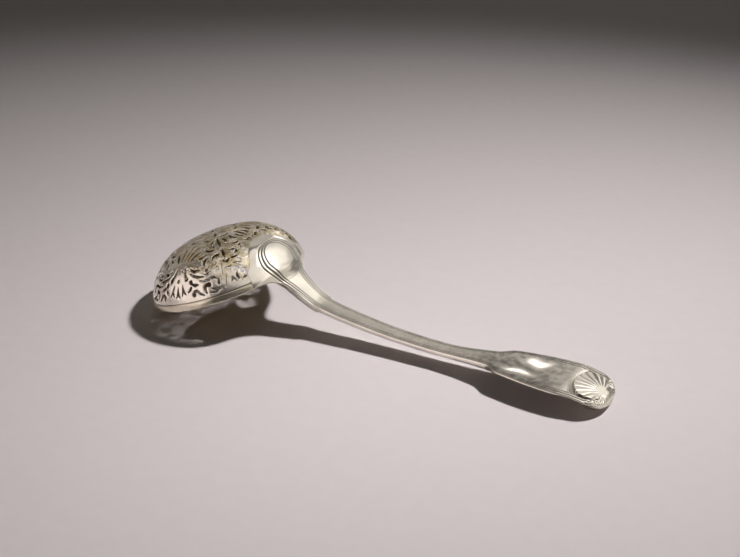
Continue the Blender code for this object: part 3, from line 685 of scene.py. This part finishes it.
def engraved_rows(borders):
    """Bottom and side points of the engraved lines, where they stay clear of the borders."""
    bottoms = np.empty((0, 2))
    sides = []
    runs = [even_run(line, ENGRAVED_SPACING) for line in engraved_lines()]
    gaps = np.split(nearest(np.vstack(runs), borders), np.cumsum([len(run) for run in runs])[:-1])
    for run, gap in zip(runs, gaps):
        clear = gap > ENGRAVED_CLEAR
        if len(bottoms):
            clear &= np.linalg.norm(run[:, None] - bottoms, axis=2).min(axis=1) > ENGRAVED_GAP
        kept = np.flatnonzero(clear)
        for stretch in np.split(kept, np.flatnonzero(np.diff(kept) > 1) + 1):
            if len(stretch) < ENGRAVED_SHORTEST:
                continue
            line = run[stretch]
            across = left_of(unit(np.gradient(line, axis=0))) * ENGRAVED_WIDTH / 2
            bottoms = np.vstack([bottoms, line[1:-1]])
            sides += [line + across, line - across]
    return bottoms, np.vstack(sides)


def blank_size():
    """Radius of the flat blank that leaves the holes clear of the band."""
    farthest = max(np.hypot(hole[:, 0], hole[:, 1]).max() for hole in HOLES)
    side_length = meridians(np.array([math.pi / 2]))[1][0, -1]
    return farthest / (1.0 - (BAND_HEIGHT + CLEARANCE + PIERCING_MARGIN) / side_length)


HOLES = all_holes()
BLANK_RADIUS = blank_size()


def pierced_blank():
    """The flat pierced and engraved blank: points, triangles, depth and recess of each point."""
    turns = np.arange(RIM_STEPS) * 2 * math.pi / RIM_STEPS
    reach = blank_reach(BAND_HEIGHT, turns)
    outline = polar(reach, turns)
    borders = np.vstack([outline] + HOLES)
    bottoms, sides = engraved_rows(borders)
    rings = np.vstack([widened(hole, CHAMFER_WIDTH) for hole in HOLES])
    rings = rings[nearest(rings, borders) > CHAMFER_CLEAR]
    lines = np.vstack([bottoms, sides, rings])
    grid = blank_grid(BLANK_RADIUS)
    grid = grid[nearest(grid, np.vstack([borders, lines])) > BLANK_CLEAR]
    grid = grid[inside(grid, outline)]
    for hole in HOLES:
        grid = grid[~inside(grid, hole)]
    points = []
    faces = []
    for loop in [outline] + HOLES:
        faces.append(list(range(len(points), len(points) + len(loop))))
        points += [Vector(point) for point in anticlockwise(loop)]
    points += [Vector(point) for point in np.vstack([lines, grid])]
    result = delaunay_2d_cdt(points, [], faces, 1, MERGED)
    triangles = [tri for tri, origin in zip(result[2], result[5]) if origin == [0]]
    used = sorted({index for triangle in triangles for index in triangle})
    renumber = {old: new for new, old in enumerate(used)}
    triangles = [[renumber[index] for index in triangle] for triangle in triangles]
    flat = np.array([tuple(result[0][index]) for index in used])
    at_hole = nearest(flat, np.vstack(HOLES)) < SAME_PLACE
    at_bottom = nearest(flat, bottoms) < SAME_PLACE
    depth = SKIN_INSET + CHAMFER_DEPTH * at_hole + ENGRAVED_DEPTH * at_bottom
    recess = HOLE_STAIN * at_hole + at_bottom
    return flat, triangles, depth, recess


def sunk(flat, depth):
    """Points of the blank raised onto the dome and pressed in by a depth."""
    points = raised(flat)
    along = raised(flat + (TANGENT_STEP, 0.0)) - points
    across = raised(flat + (0.0, TANGENT_STEP)) - points
    return points - unit(np.cross(along, across)) * depth[:, None]


def rim_centre():
    """Centre of the mouth: its lip touches the table and its wall bulges to the spoon's end."""
    share = np.linspace(0.0, 1.0, ARC_SAMPLES)
    bulge = (mouth_radius(math.pi) * share * math.cos(BOWL_TILT)
             + BOWL_DEPTH * dome_height(share, DOME_WALL_POWER) * math.sin(BOWL_TILT))
    return np.array([bulge.max() - SPOON_LENGTH / 2, 0.0, (BOWL_RADIUS - BAND_LIP) * math.sin(BOWL_TILT)])


def to_world(points):
    """Points of the mouth's frame in the spoon's frame."""
    cos, sin = math.cos(BOWL_TILT), math.sin(BOWL_TILT)
    points = np.asarray(points)
    turned = np.stack([points[:, 0] * cos - points[:, 2] * sin, points[:, 1],
                       points[:, 0] * sin + points[:, 2] * cos], axis=1)
    return rim_centre() + turned


def piece(name, points, faces, materials, node, recess, tint_and_painted_light):
    """A mesh piece, smooth, with its sunken and its tinted places marked, that stands for a node."""
    mesh = bpy.data.meshes.new(name)
    mesh.from_pydata([tuple(point) for point in np.asarray(points) * MM], [], faces)
    mesh.validate()
    mesh.shade_smooth()
    for label, values in (("recess", recess), ("tint_and_painted_light", tint_and_painted_light)):
        mark = mesh.attributes.new(label, "FLOAT", "POINT")
        mark.data.foreach_set("value", np.asarray(values, dtype=np.float32))
    for material in materials:
        mesh.materials.append(material)
    made = bpy.data.objects.new(name, mesh)
    bpy.context.scene.collection.objects.link(made)
    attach(made, "root")
    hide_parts(node)
    return made


def make_bowl(materials):
    """The engraved, pierced sheet, given its thickness and softened edges."""
    flat, triangles, depth, recess = pierced_blank()
    points = to_world(sunk(flat, depth))
    # Golden towards the crown: painted gold glints, as of the gilt inside seen through the piercing
    tint_and_painted_light = ease(*GILT_AND_GLINT_HEIGHTS, points[:, 2])
    bowl = piece("bowl", points, triangles, materials, "pierced_bowl", recess, tint_and_painted_light)
    sheet = bowl.modifiers.new("sheet", "SOLIDIFY")
    sheet.thickness = SHEET_THICKNESS * MM
    sheet.offset = -1.0
    sheet.material_offset = 1
    sheet.material_offset_rim = 2
    edge = bowl.modifiers.new("edge", "BEVEL")
    edge.width = HOLE_BEVEL * MM
    edge.segments = 2
    edge.limit_method = "ANGLE"
    edge.angle_limit = BEVEL_ANGLE
    edge.harden_normals = True


def loft_faces(sections, count):
    """Faces of a closed loft whose sections each have the same number of points."""
    faces = [list(range(count))]
    for low in range(0, (sections - 1) * count, count):
        high = low + count
        for index in range(count):
            after = (index + 1) % count
            faces.append([low + index, high + index, high + after, low + after])
    faces.append(list(range((sections - 1) * count, sections * count))[::-1])
    return faces


def band_section(angle):
    """Section of the rim band as (radius, height, recess): round lip, swelling face, sunk line on top."""
    outer = mouth_radius(angle) - BAND_TRIM
    top = dome_radius_at(BAND_HEIGHT, angle) - BAND_TRIM
    lean = math.atan2(top - dome_radius_at(BAND_HEIGHT + SHEET_THICKNESS, angle), SHEET_THICKNESS)
    section = []
    for turn in np.linspace(math.pi / 2, 0.0, LIP_POINTS):
        radius = outer - BAND_LIP + BAND_LIP * math.cos(turn)
        section.append((radius, BAND_LIP * (1.0 - math.sin(turn)), 0.0))
    for part in np.linspace(0.0, 1.0, FACE_STEPS + 1)[1:]:
        height = BAND_LIP + (BAND_HEIGHT - BAND_GROOVE - BAND_LIP) * part
        radius = dome_radius_at(height, angle) - BAND_TRIM - BAND_SWELL * part ** 2
        section.append((radius, height, BAND_STAIN * part ** BAND_STAIN_POWER))
    for inwards, down, stain_and_shade in GROOVE_LINE:
        section.append((top - BAND_GROOVE * inwards, BAND_HEIGHT - BAND_GROOVE * down, stain_and_shade))
    back = [
        (top - BAND_THICKNESS * math.cos(lean), BAND_HEIGHT - BAND_THICKNESS * math.sin(lean)),
        (outer - BAND_THICKNESS, BAND_LIP),
        (outer - BAND_THICKNESS + BAND_LIP, 0.0),
    ]
    return section + [(*point, stain_and_shade) for point, stain_and_shade in zip(back, BACK_DARKENING)]


def make_band(material):
    """An open ring that runs round the tip from one side of the drop to the other."""
    start = DROP_RIM_ANGLE - BAND_TUCK
    turns = np.linspace(start, 2 * math.pi - start, RIM_STEPS)
    points = []
    recess = []
    for turn in turns:
        for radius, height, stain_and_shade in band_section(turn):
            points.append((radius * math.cos(turn), radius * math.sin(turn), height))
            recess.append(stain_and_shade)
    faces = loft_faces(len(turns), len(points) // len(turns))
    tint_and_painted_light = np.ones(len(points))
    piece("band", to_world(points), faces, [material], "rim_band", recess, tint_and_painted_light)


def glide(knots, places):
    """Smooth curve through (place, value) knots that never swings past them."""
    knots = np.asarray(knots, dtype=float)
    at, values = knots[:, 0], knots[:, 1]
    step = np.diff(at)
    slope = np.diff(values) / step
    tangent = np.concatenate([slope[:1], np.zeros(len(at) - 2), slope[-1:]])
    for index in range(1, len(at) - 1):
        before, after = slope[index - 1], slope[index]
        if before * after > 0:
            tangent[index] = 2 * before * after / (before + after)
    first = np.clip(np.searchsorted(at, places) - 1, 0, len(step) - 1)
    t = np.clip((places - at[first]) / step[first], 0.0, 1.0)
    return (values[first] * (1 + 2 * t) * (1 - t) ** 2
            + values[first + 1] * t ** 2 * (3 - 2 * t)
            + step[first] * t * (1 - t) * (tangent[first] * (1 - t) - tangent[first + 1] * t))


def ease(low, high, places):
    """Rise smoothly from 0 at low to 1 at high; high may be the smaller."""
    t = np.clip((places - low) / (high - low), 0.0, 1.0)
    return t * t * (3 - 2 * t)


def rounded(part):
    """Half-round swell: 1 in the middle of each whole step, 0 at its ends."""
    return np.sqrt(np.clip(1.0 - (2.0 * (part - np.floor(part)) - 1.0) ** 2, 0.0, 1.0))


# Places along the handle, worked out from the sizes above
HEEL_X, _, HEEL_Z = to_world([(mouth_radius(0.0), 0.0, 0.0)])[0]
END_X = SPOON_LENGTH / 2
SHOULDER_X = HEEL_X + SHOULDER_REACH
STEM_X = SHOULDER_X + SHOULDER_STEP
FIDDLE_X = END_X - FIDDLE_LENGTH
STEM_END_X = FIDDLE_X - FIDDLE_SHOULDER_RUN
WAIST_X = FIDDLE_X - WAIST_BEFORE_FIDDLE
SHELL_X = END_X - SHELL_LENGTH
FIDDLE_SWELL_X = SHELL_X - FIDDLE_SWELL_BEFORE_SHELL
ROUNDED_X = END_X - END_ROUNDING

# Half width, width of the threads and depth of the sides along the stem and the fiddle, by place along X
STEM_KNOTS = (
    (SHOULDER_X, SHOULDER_HALF_WIDTH), (STEM_X, STEM_ROOT_HALF_WIDTH), (WAIST_X, STEM_HALF_WIDTH),
    (STEM_END_X, STEM_END_HALF_WIDTH), (FIDDLE_X, FIDDLE_SHOULDER_HALF_WIDTH),
    (FIDDLE_SWELL_X, FIDDLE_HALF_WIDTH), (ROUNDED_X, SHELL_HALF_WIDTH),
)
THREAD_KNOTS = (
    (SHOULDER_X, SHOULDER_HALF_WIDTH - NECK_THREADS_IN[-1][1]),
    (STEM_X, STEM_ROOT_HALF_WIDTH - NECK_THREADS_IN[-1][1]), (WAIST_X, STEM_THREADS),
    (FIDDLE_X, FIDDLE_SHOULDER_THREADS), (FIDDLE_SWELL_X, FIDDLE_THREADS), (END_X, FIDDLE_THREADS),
)
SIDE_KNOTS = (
    (SHOULDER_X, NECK_SIDE), (STEM_X, SHOULDER_SIDE), (WAIST_X, STEM_SIDE), (STEM_END_X, STEM_END_SIDE),
    (FIDDLE_X, FIDDLE_EDGE), (END_X, FIDDLE_EDGE),
)


def drop_outline():
    """Runs down the neck's slope, and half widths, along the border of the drop and its fillet."""
    turns = np.linspace(DROP_RIM_ANGLE, DROP_RIM_ANGLE - FILLET_TURN, FILLET_POINTS)
    rim = np.column_stack([polar(mouth_radius(turns), turns), np.zeros(FILLET_POINTS)])
    lap = smooth_run([(reach * math.cos(part * DROP_RIM_ANGLE), reach * math.sin(part * DROP_RIM_ANGLE))
                      for reach, part in DROP_BORDER], DROP_POINTS)
    border = to_world(np.vstack([raised(lap), rim]))
    along = border[:, 0] - HEEL_X
    down = HEEL_Z - border[:, 2]
    return np.maximum.accumulate(along * math.cos(NECK_SLOPE) + down * math.sin(NECK_SLOPE)), border[:, 1]


def upper_heights():
    """Upper face along the middle: straight down the neck, then the long curve of the stem."""
    slope = math.tan(NECK_SLOPE)
    lap = -DROP_RUNS[0] * math.cos(NECK_SLOPE)
    neck_x = HEEL_X + np.array([-lap, -lap / 2, 0.0, NECK_STRAIGHT])
    bend_z = (HEEL_Z - slope * NECK_STRAIGHT + SHOULDER_HEIGHT) / 2 - NECK_HOLLOW
    knots = [(x, HEEL_Z + CLEARANCE - slope * (x - HEEL_X)) for x in neck_x]
    return knots + [
        ((neck_x[-1] + SHOULDER_X) / 2, bend_z),
        (SHOULDER_X, SHOULDER_HEIGHT),
        ((SHOULDER_X * 2 + WAIST_X) / 3, STEM_UPPER_HEIGHT),
        ((SHOULDER_X + WAIST_X * 2) / 3, STEM_MIDDLE_HEIGHT),
        (WAIST_X, STEM_LOW_HEIGHT),
        (FIDDLE_X, FIDDLE_HEIGHT),
        (SHELL_X, SHELL_HEIGHT),
        (ROUNDED_X, END_SHOULDER_HEIGHT),
        (END_X, END_HEIGHT),
    ]


DROP_RUNS, DROP_WIDTHS = drop_outline()
HEIGHT_KNOTS = upper_heights()


def run_at(x):
    """Run down the neck's slope, from the heel, at a place along X."""
    return (x - HEEL_X) / math.cos(NECK_SLOPE)


def stations():
    """Places of the sections along X, closer where the ornament is finer."""
    starts = {"drop": HEIGHT_KNOTS[0][0], "heel": HEEL_X, "shoulder": SHOULDER_X,
              "fiddle": FIDDLE_X, "end": END_X}
    stops = [(starts[name] + onwards, spacing) for name, onwards, spacing in STATIONS]
    runs = []
    for (low, spacing), (high, _) in zip(stops, stops[1:]):
        count = max(2, int(round((high - low) / spacing)))
        runs.append(np.linspace(low, high, count, endpoint=False))
    return np.concatenate(runs + [[END_X]])


def half_width(x):
    """Half width of the handle at a place along X."""
    run = run_at(x)
    if x > ROUNDED_X:
        part = (x - ROUNDED_X) / END_ROUNDING
        round_part = math.sqrt(max(0.0, 1.0 - part ** 2))
        return END_FLAT_HALF_WIDTH + (SHELL_HALF_WIDTH - END_FLAT_HALF_WIDTH) * round_part
    if x >= SHOULDER_X:
        return glide(STEM_KNOTS, x)
    if run <= DROP_RUNS[-1]:
        return np.interp(run, DROP_RUNS, DROP_WIDTHS)
    fade = math.exp(-(run - DROP_RUNS[-1]) / FILLET_REACH)
    part = (x - HEEL_X) / (SHOULDER_X - HEEL_X)
    neck = NECK_HALF_WIDTH + (SHOULDER_HALF_WIDTH - NECK_HALF_WIDTH) * part
    return neck + (DROP_WIDTHS[-1] - neck) * fade


def thread_band(x, half):
    """Where the threads lie at a station below the loop: their inner and outer half widths."""
    if x < SHOULDER_X:
        run = run_at(x)
        return glide(NECK_THREADS_IN, run), glide(NECK_THREADS_OUT, run)
    return half - glide(THREAD_KNOTS, x), half - THREAD_EDGE


def threads(x, half, across):
    """Relief and recess of the threads, and of the loop that they close round the drop."""
    run = run_at(x)
    if run < LOOP_CENTRE:
        reach = np.hypot(run - LOOP_CENTRE, across)
        inner = np.full(len(across), LOOP_INNER)
        outer = LOOP_OUTER_TOP + (LOOP_OUTER_SIDE - LOOP_OUTER_TOP) * (across / reach) ** 2
    else:
        reach = np.abs(across)
        band = thread_band(x, half)
        inner = np.full(len(across), band[0])
        outer = np.full(len(across), band[1])
    level = (reach - inner) / (outer - inner)
    within = (level > 0.0) & (level < 1.0)
    outside = np.maximum(inner - reach, reach - outer)
    line = (0.5 + 0.5 * np.cos(2 * math.pi * THREAD_COUNT * level)) ** THREAD_SHARPNESS
    dip = np.where(within, line, ease(THREAD_SHOULDER, 0.0, outside))
    # Darkened in and beside the sunk lines, wider than they are cut: painted shade
    mark = np.where(within, dip ** THREAD_SHADE_POWER, ease(THREAD_SHADE_SHOULDER, 0.0, outside))
    fade = ease(*THREAD_END, END_X - x)
    return -THREAD_DEPTH * dip * fade, mark * fade


def shell(x, half, across):
    """Relief and recess of the shell, the ridge before it and the volutes beside its root."""
    before = END_X - x
    along = SHELL_ROOT - before
    reach = np.hypot(along, across)
    turn = np.arctan2(across, -along)
    part = turn / FLUTE_ANGLE
    aside = np.abs(part - np.round(part)) * FLUTE_ANGLE * reach
    hollow = np.exp(-(aside / FLUTE_GROOVE) ** 2)
    flute = 1.0 - (2.0 * (part - np.floor(part)) - 1.0) ** 2
    spread = FLUTE_COUNT * FLUTE_ANGLE
    in_fan = ease(spread + FAN_SOFTNESS, spread - FAN_SOFTNESS, np.abs(turn))
    edge = SHELL_FAN - SCALLOP * (1.0 - flute) ** 2
    body = ease(edge + SHELL_WALL / 2, edge - SHELL_WALL / 2, reach)
    behind = ease(BACK_REACH, ROOT_RADIUS / 2, reach) * ease(-ROOT_RADIUS, 0.0, along)
    on_field = ease(*FIELD_EDGE, np.abs(across) - half + glide(THREAD_KNOTS, x))
    inside_threads = np.maximum(on_field, ease(END_ROUNDING, SHELL_ROOT, before))
    body = np.maximum(body * in_fan, behind) * inside_threads
    depth = ease(FLUTE_ROOT, FLUTE_FULL, reach) ** FLUTE_POWER * in_fan * body
    groove = FLUTE_DEPTH * depth * ((1.0 - FLUTE_HOLLOW) * (1.0 - flute) + FLUTE_HOLLOW * hollow)
    rib = 0.5 + 0.5 * np.cos(2 * math.pi * turn / RIB_ANGLE)
    rib = rib * ease(*RIB_START, along) * ease(*RIB_REACH, reach) * (1.0 - in_fan)
    past_ridge = ARC_RIDGE - before - ARC_SAG * (across / ARC_HALF_SPAN) ** 2
    ridge = ARC_RISE * np.exp(-(past_ridge / ARC_WIDTH) ** 2) * on_field
    ground = ease(0.0, SUNK_RUN, past_ridge) * (1.0 - body) * on_field
    rise = SHELL_BODY * body - groove - RIB_DEPTH * rib + ridge - SHELL_SUNK * ground
    mark = np.clip(FLUTE_STAIN * hollow * depth + SUNK_STAIN * ground + RIB_STAIN * rib, 0.0, 1.0)
    on_curl, spiral = volutes(before, across)
    rise = rise * (1.0 - on_curl) + on_curl * VOLUTE_RISE * (0.5 + 0.5 * spiral)
    mark = mark * (1.0 - on_curl) + on_curl * (1.0 - spiral)
    begin = ease(*SHELL_START, before - ARC_RIDGE)
    begin = begin * ease(0.0, SHELL_BORDER, np.minimum(half - np.abs(across), before))
    return rise * begin, mark * begin


def volutes(before, across):
    """Where the two volutes lie, and the swell of their spiral."""
    curl_x = VOLUTE_ROOT - before
    curl_y = np.abs(across) - VOLUTE_ACROSS
    curl = np.hypot(curl_x, curl_y)
    spiral = rounded(curl / VOLUTE_PITCH - np.arctan2(curl_y, curl_x) / (2 * math.pi))
    return ease(VOLUTE_RADIUS, VOLUTE_RADIUS - VOLUTE_SOFTNESS, curl), spiral


def dents(x, across):
    """Depth of the shallow dents of use in the fiddle's flat, and how far they are rubbed bright."""
    depth = np.zeros(len(across))
    rubbed = np.zeros(len(across))
    for before_end, middle, length, width in DENTS:
        along = (x - END_X + before_end) / length
        aside = (across - middle) / width + DENT_WOBBLE * np.sin(DENT_WAVE * along + before_end)
        near = np.exp(-along ** 2 - aside ** 2)
        depth -= DENT_SLOPE * width * aside * near
        rubbed = np.maximum(rubbed, np.clip(DENT_RUB * near, 0.0, 1.0))
    return depth, rubbed


def dome_reach(base, up, across):
    """Distance from a section's base, along its up direction, to just clear of the bowl."""
    low = np.full(len(across), -BOWL_DEPTH)
    high = np.full(len(across), BOWL_DEPTH)
    cos, sin = math.cos(BOWL_TILT), math.sin(BOWL_TILT)
    centre = rim_centre()
    for _ in range(HALVINGS):
        middle = (low + high) / 2
        x = base[0] + up[0] * middle - centre[0]
        z = base[1] + up[1] * middle - centre[2]
        along = x * cos + z * sin
        height = np.maximum(0.0, z * cos - x * sin)
        angle = np.arctan2(across, along)
        spread = (np.hypot(along, across) / mouth_radius(angle)) ** DOME_PLAN_POWER
        outside = spread + (height / BOWL_DEPTH) ** wall_power(angle) > 1.0
        high = np.where(outside, middle, high)
        low = np.where(outside, low, middle)
    return high


def across_samples(x, half):
    """Places across a section, close together in the threads."""
    count = FIELD_POINTS + THREAD_POINTS + EDGE_POINTS
    even = np.linspace(0.0, half, count + 1)[1:]
    inner, outer = thread_band(x, half)
    outer = min(outer + THREAD_MARGIN, half - THREAD_MARGIN / 4)
    inner = min(max(inner - THREAD_MARGIN, half * FIELD_SHARES[0]), outer * FIELD_SHARES[1])
    close = np.concatenate([np.linspace(0.0, inner, FIELD_POINTS + 1)[1:],
                            np.linspace(inner, outer, THREAD_POINTS + 1)[1:],
                            np.linspace(outer, half, EDGE_POINTS + 1)[1:]])
    closing = ease(LOOP_CENTRE, LOOP_CENTRE + CLOSING_RUN, run_at(x))
    side = even + (close - even) * closing
    return np.concatenate([-side[::-1], [0.0], side])


def upper_face(x, half, across, seat, on_stem):
    """Rise and recess of the upper face: the drop on its seat or the stem's crown, with the ornament."""
    run = run_at(x)
    share = across / half
    start = DROP_RUNS[0]
    swell = ease(start, start + DROP_FEATHER, run)
    rounding = DROP_ROUNDING + (HEEL_ROUNDING - DROP_ROUNDING) * ease(*ROUNDING_RUN, run)
    drop = seat + DROP_EDGE + (DROP_THICKNESS - DROP_EDGE) * swell * (1.0 - np.abs(share) ** rounding)
    top = (1.0 - on_stem) * drop + on_stem * STEM_CROWN * (1.0 - share ** 2)
    relief, recess = threads(x, half, across)
    if x > END_X - ARC_RIDGE - SHELL_LEAD:
        shell_relief, shell_recess = shell(x, half, across)
        relief = relief + shell_relief
        recess = np.maximum(recess, shell_recess)
    relief = relief + dents(x, across)[0]
    edge = np.clip(1.0 - (half - np.abs(across)) / EDGE_WIDTH, 0.0, 1.0) ** 2
    top = top + relief * ease(start, start + RELIEF_RUN, run) - on_stem * EDGE_ROUND * edge
    return top, recess


def under_face(x, base_z, share, seat, on_stem):
    """Rise of the under face: the drop's seat or the stem's swelling back, and the boss on the table."""
    bulge = 1.0 - share ** 2
    side = glide(SIDE_KNOTS, x)
    under = (1.0 - on_stem) * seat - on_stem * (side + UNDER_CROWN * bulge)
    before = END_X - x
    boss = ease(*BOSS_RISE, before) * ease(*BOSS_FALL, before)
    boss = boss * np.minimum(1.0, BOSS_FULLNESS * bulge ** BOSS_POWER)
    return under + boss * (-base_z - under)


def handle_section(x):
    """One closed section and its recess: upper face, one side, under face, other side."""
    base_z = glide(HEIGHT_KNOTS, x)
    half = half_width(x)
    on_stem = ease(-NECK_BLEND / 3, NECK_BLEND * 2 / 3, run_at(x))
    lean = NECK_SLOPE * (1.0 - ease(HEEL_X + NECK_STRAIGHT / 2, SHOULDER_X, x))
    up = (math.sin(lean), math.cos(lean))
    across = across_samples(x, half)
    seat = dome_reach((x, base_z), up, across) if on_stem < 1.0 else np.zeros(len(across))
    top, recess = upper_face(x, half, across, seat, on_stem)
    share = np.linspace(-1.0, 1.0, UNDER_POINTS)
    under = under_face(x, base_z, share, np.interp(share, across / half, seat), on_stem)
    parts = np.array(SIDE_PARTS)
    narrow = 1.0 - UNDER_INSET * on_stem
    wide = half * (1.0 + (narrow - 1.0) * parts) + SIDE_SWELL * on_stem * np.sin(math.pi * parts)
    right = top[-1] + (under[-1] - top[-1]) * parts
    left = top[0] + (under[0] - top[0]) * parts
    places = np.concatenate([across, wide, (share * half * narrow)[::-1], -wide[::-1]])
    rises = np.concatenate([top, right, under[::-1], left[::-1]])
    clean = np.zeros(len(parts))
    marks = np.concatenate([recess, clean, np.full(UNDER_POINTS, UNDER_DARKENING), clean])
    return np.stack([x + up[0] * rises, places, base_z + up[1] * rises], axis=1), marks


def make_handle(material):
    """A closed loft of the handle's sections, with tarnish and painted shade that are rubbed off at the
    edges and dents.
    """
    places = stations()
    sections, marks = zip(*[handle_section(x) for x in places])
    points = np.vstack(sections)
    count = len(sections[0])
    halves = np.repeat([half_width(x) for x in places], count)
    rubbed_edge = ease(RUBBED_EDGE, EDGE_WIDTH, halves - np.abs(points[:, 1]))
    rubbed = np.maximum(rubbed_edge, dents(points[:, 0], points[:, 1])[1])
    # Darker towards the fiddle: tarnish together with painted shade for its dimmer reflections
    tint_and_painted_light = np.interp(points[:, 0], *zip(*HANDLE_TARNISH_AND_SHADE)) * (1.0 - rubbed)
    faces = loft_faces(len(places), count)
    recess = np.concatenate(marks)
    piece("handle_body", points, faces, [material], "handle", recess, tint_and_painted_light)


def feed(tree, node, inputs):
    """Set a node's inputs to values, or link them to other nodes' outputs."""
    for name, value in inputs.items():
        if isinstance(value, bpy.types.NodeSocket):
            tree.links.new(value, node.inputs[name])
        else:
            node.inputs[name].default_value = value


def added(tree, kind, inputs, output, **settings):
    """Output of a new node with the given settings and inputs."""
    node = tree.nodes.new("ShaderNode" + kind)
    for name, setting in settings.items():
        setattr(node, name, setting)
    feed(tree, node, inputs)
    return node.outputs[output]


def mixed(tree, amount, first, second):
    """Mix two colours, each a fixed colour or the output of a node."""
    return added(tree, "Mix", {"Factor": amount, "A": first, "B": second}, "Result", data_type="RGBA")


def ranged(tree, value, start, end, low, high):
    """Carry a value's range from start to end over to low to high."""
    inputs = {"Value": value, "From Min": start, "From Max": end, "To Min": low, "To Max": high}
    return added(tree, "MapRange", inputs, "Result")


def noise(tree, vector, scale, detail):
    return added(tree, "TexNoise", {"Vector": vector, "Scale": scale, "Detail": detail}, "Fac")


def marked(tree, label):
    """Values that a piece's points carry under a label."""
    return added(tree, "Attribute", {}, "Fac", attribute_name=label)


def bumped(tree, strength, depth, height, normal=None):
    """Normal of a bumpy surface, on top of an earlier one if there is one."""
    inputs = {"Strength": strength, "Distance": depth, "Height": height}
    if normal is not None:
        inputs["Normal"] = normal
    return added(tree, "Bump", inputs, "Normal")


def silver(name, clean, tint, stain_and_shade, roughness, stained, least, chased):
    """Worn silver: patches of wash that carry painted glints and shade, dark stain with painted shade where
    it is sunken, dark stain where it is clouded, fine scratches, dimples.
    """
    material = bpy.data.materials.new(name)
    material.use_nodes = True
    tree = material.node_tree
    place = added(tree, "TexCoord", {}, "Object")
    tint_and_painted_light = marked(tree, "tint_and_painted_light")
    clouds = ranged(tree, noise(tree, place, *CLOUDS), *CLOUD_RANGE, 0.0, stained)
    sunken = {0: marked(tree, "recess"), 1: STAIN_AND_SHADE_HOLD, 2: clouds}
    dark = added(tree, "Math", sunken, "Value", operation="MULTIPLY_ADD")
    patches = ranged(tree, noise(tree, place, *PATCHES), *PATCH_RANGE, least, 1.0)
    patches = added(tree, "Math", {0: tint_and_painted_light, 1: patches}, "Value", operation="MULTIPLY")
    colour = mixed(tree, patches, (*clean, 1.0), (*tint, 1.0))
    stretch = {"Vector": place, "Scale": SCRATCH_SCALE, "Rotation": SCRATCH_TURN}
    scratches = noise(tree, added(tree, "Mapping", stretch, "Vector"), *SCRATCHES)
    normal = bumped(tree, SCRATCH_STRENGTH, SCRATCH_DEPTH, scratches)
    if chased:
        strength = ranged(tree, tint_and_painted_light, 0.0, 1.0, 0.0, chased)
        normal = bumped(tree, strength, DIMPLE_DEPTH, noise(tree, place, *DIMPLES), normal)
    feed(tree, tree.nodes["Principled BSDF"], {
        "Base Color": mixed(tree, dark, colour, (*stain_and_shade, 1.0)),
        "Metallic": METALLIC,
        "Roughness": ranged(tree, dark, 0.0, 1.0, roughness, roughness + STAIN_ROUGHNESS),
        "Normal": normal,
    })
    return material


def make_floor():
    """A pale paper table with a faint grain."""
    bpy.ops.mesh.primitive_plane_add(size=PAPER_SIZE)
    floor = bpy.context.object
    floor.name = "floor"
    material = bpy.data.materials.new("paper")
    material.use_nodes = True
    tree = material.node_tree
    grain = added(tree, "TexNoise", {"Scale": PAPER_GRAIN}, "Fac")
    colour = mixed(tree, grain, PAPER_DARK, PAPER_PALE)
    feed(tree, tree.nodes["Principled BSDF"], {"Base Color": colour, "Roughness": PAPER_ROUGHNESS})
    floor.data.materials.append(material)


def aimed(name, data, place, target):
    """A lamp or camera, placed in millimetres, that looks at a target."""
    made = bpy.data.objects.new(name, data)
    made.location = Vector(place) * MM
    made.rotation_euler = (Vector(target) - Vector(place)).to_track_quat("-Z", "Y").to_euler()
    bpy.context.scene.collection.objects.link(made)
    return made


def lamp(name, place, target, size, power, colour, mirrored):
    """A soft round lamp, unseen by the camera: it is either mirrored in the silver or lights the scene."""
    data = bpy.data.lights.new(name, "AREA")
    data.shape = "ELLIPSE"
    data.size = size[0] * MM
    data.size_y = size[1] * MM
    data.energy = power
    data.color = colour
    made = aimed(name, data, place, target)
    made.visible_diffuse = not mirrored
    made.visible_glossy = mirrored
    made.visible_camera = False
    return data


def make_light():
    """A small key light behind on the right, pale cards that the silver mirrors, and a dim warm room."""
    key = lamp("key", KEY_PLACE, KEY_TARGET, KEY_SIZE, KEY_POWER, KEY_COLOUR, False)
    key.spread = KEY_SPREAD
    for card in CARDS:
        lamp(*card, True)
    world = bpy.data.worlds.new("room")
    world.use_nodes = True
    world.node_tree.nodes["Background"].inputs["Color"].default_value = ROOM_COLOUR
    bpy.context.scene.world = world


def make_camera():
    """The photograph's view."""
    data = bpy.data.cameras.new("camera")
    data.sensor_width = CAMERA_SENSOR
    data.sensor_fit = "HORIZONTAL"
    data.lens = CAMERA_LENS
    data.clip_start = NEAREST_SEEN
    bpy.context.scene.camera = aimed("camera", data, CAMERA_PLACE, CAMERA_TARGET)


silvers = {name: silver(name, *look) for name, look in SILVERS.items()}
make_bowl([silvers["bowl_silver"], silvers["bowl_gilt_in_painted_shade"], silvers["bowl_edge_in_painted_shade"]])
make_band(silvers["band_silver"])
make_handle(silvers["handle_silver"])
make_floor()
make_light()
make_camera()
bpy.context.scene.view_settings.view_transform = "Standard"
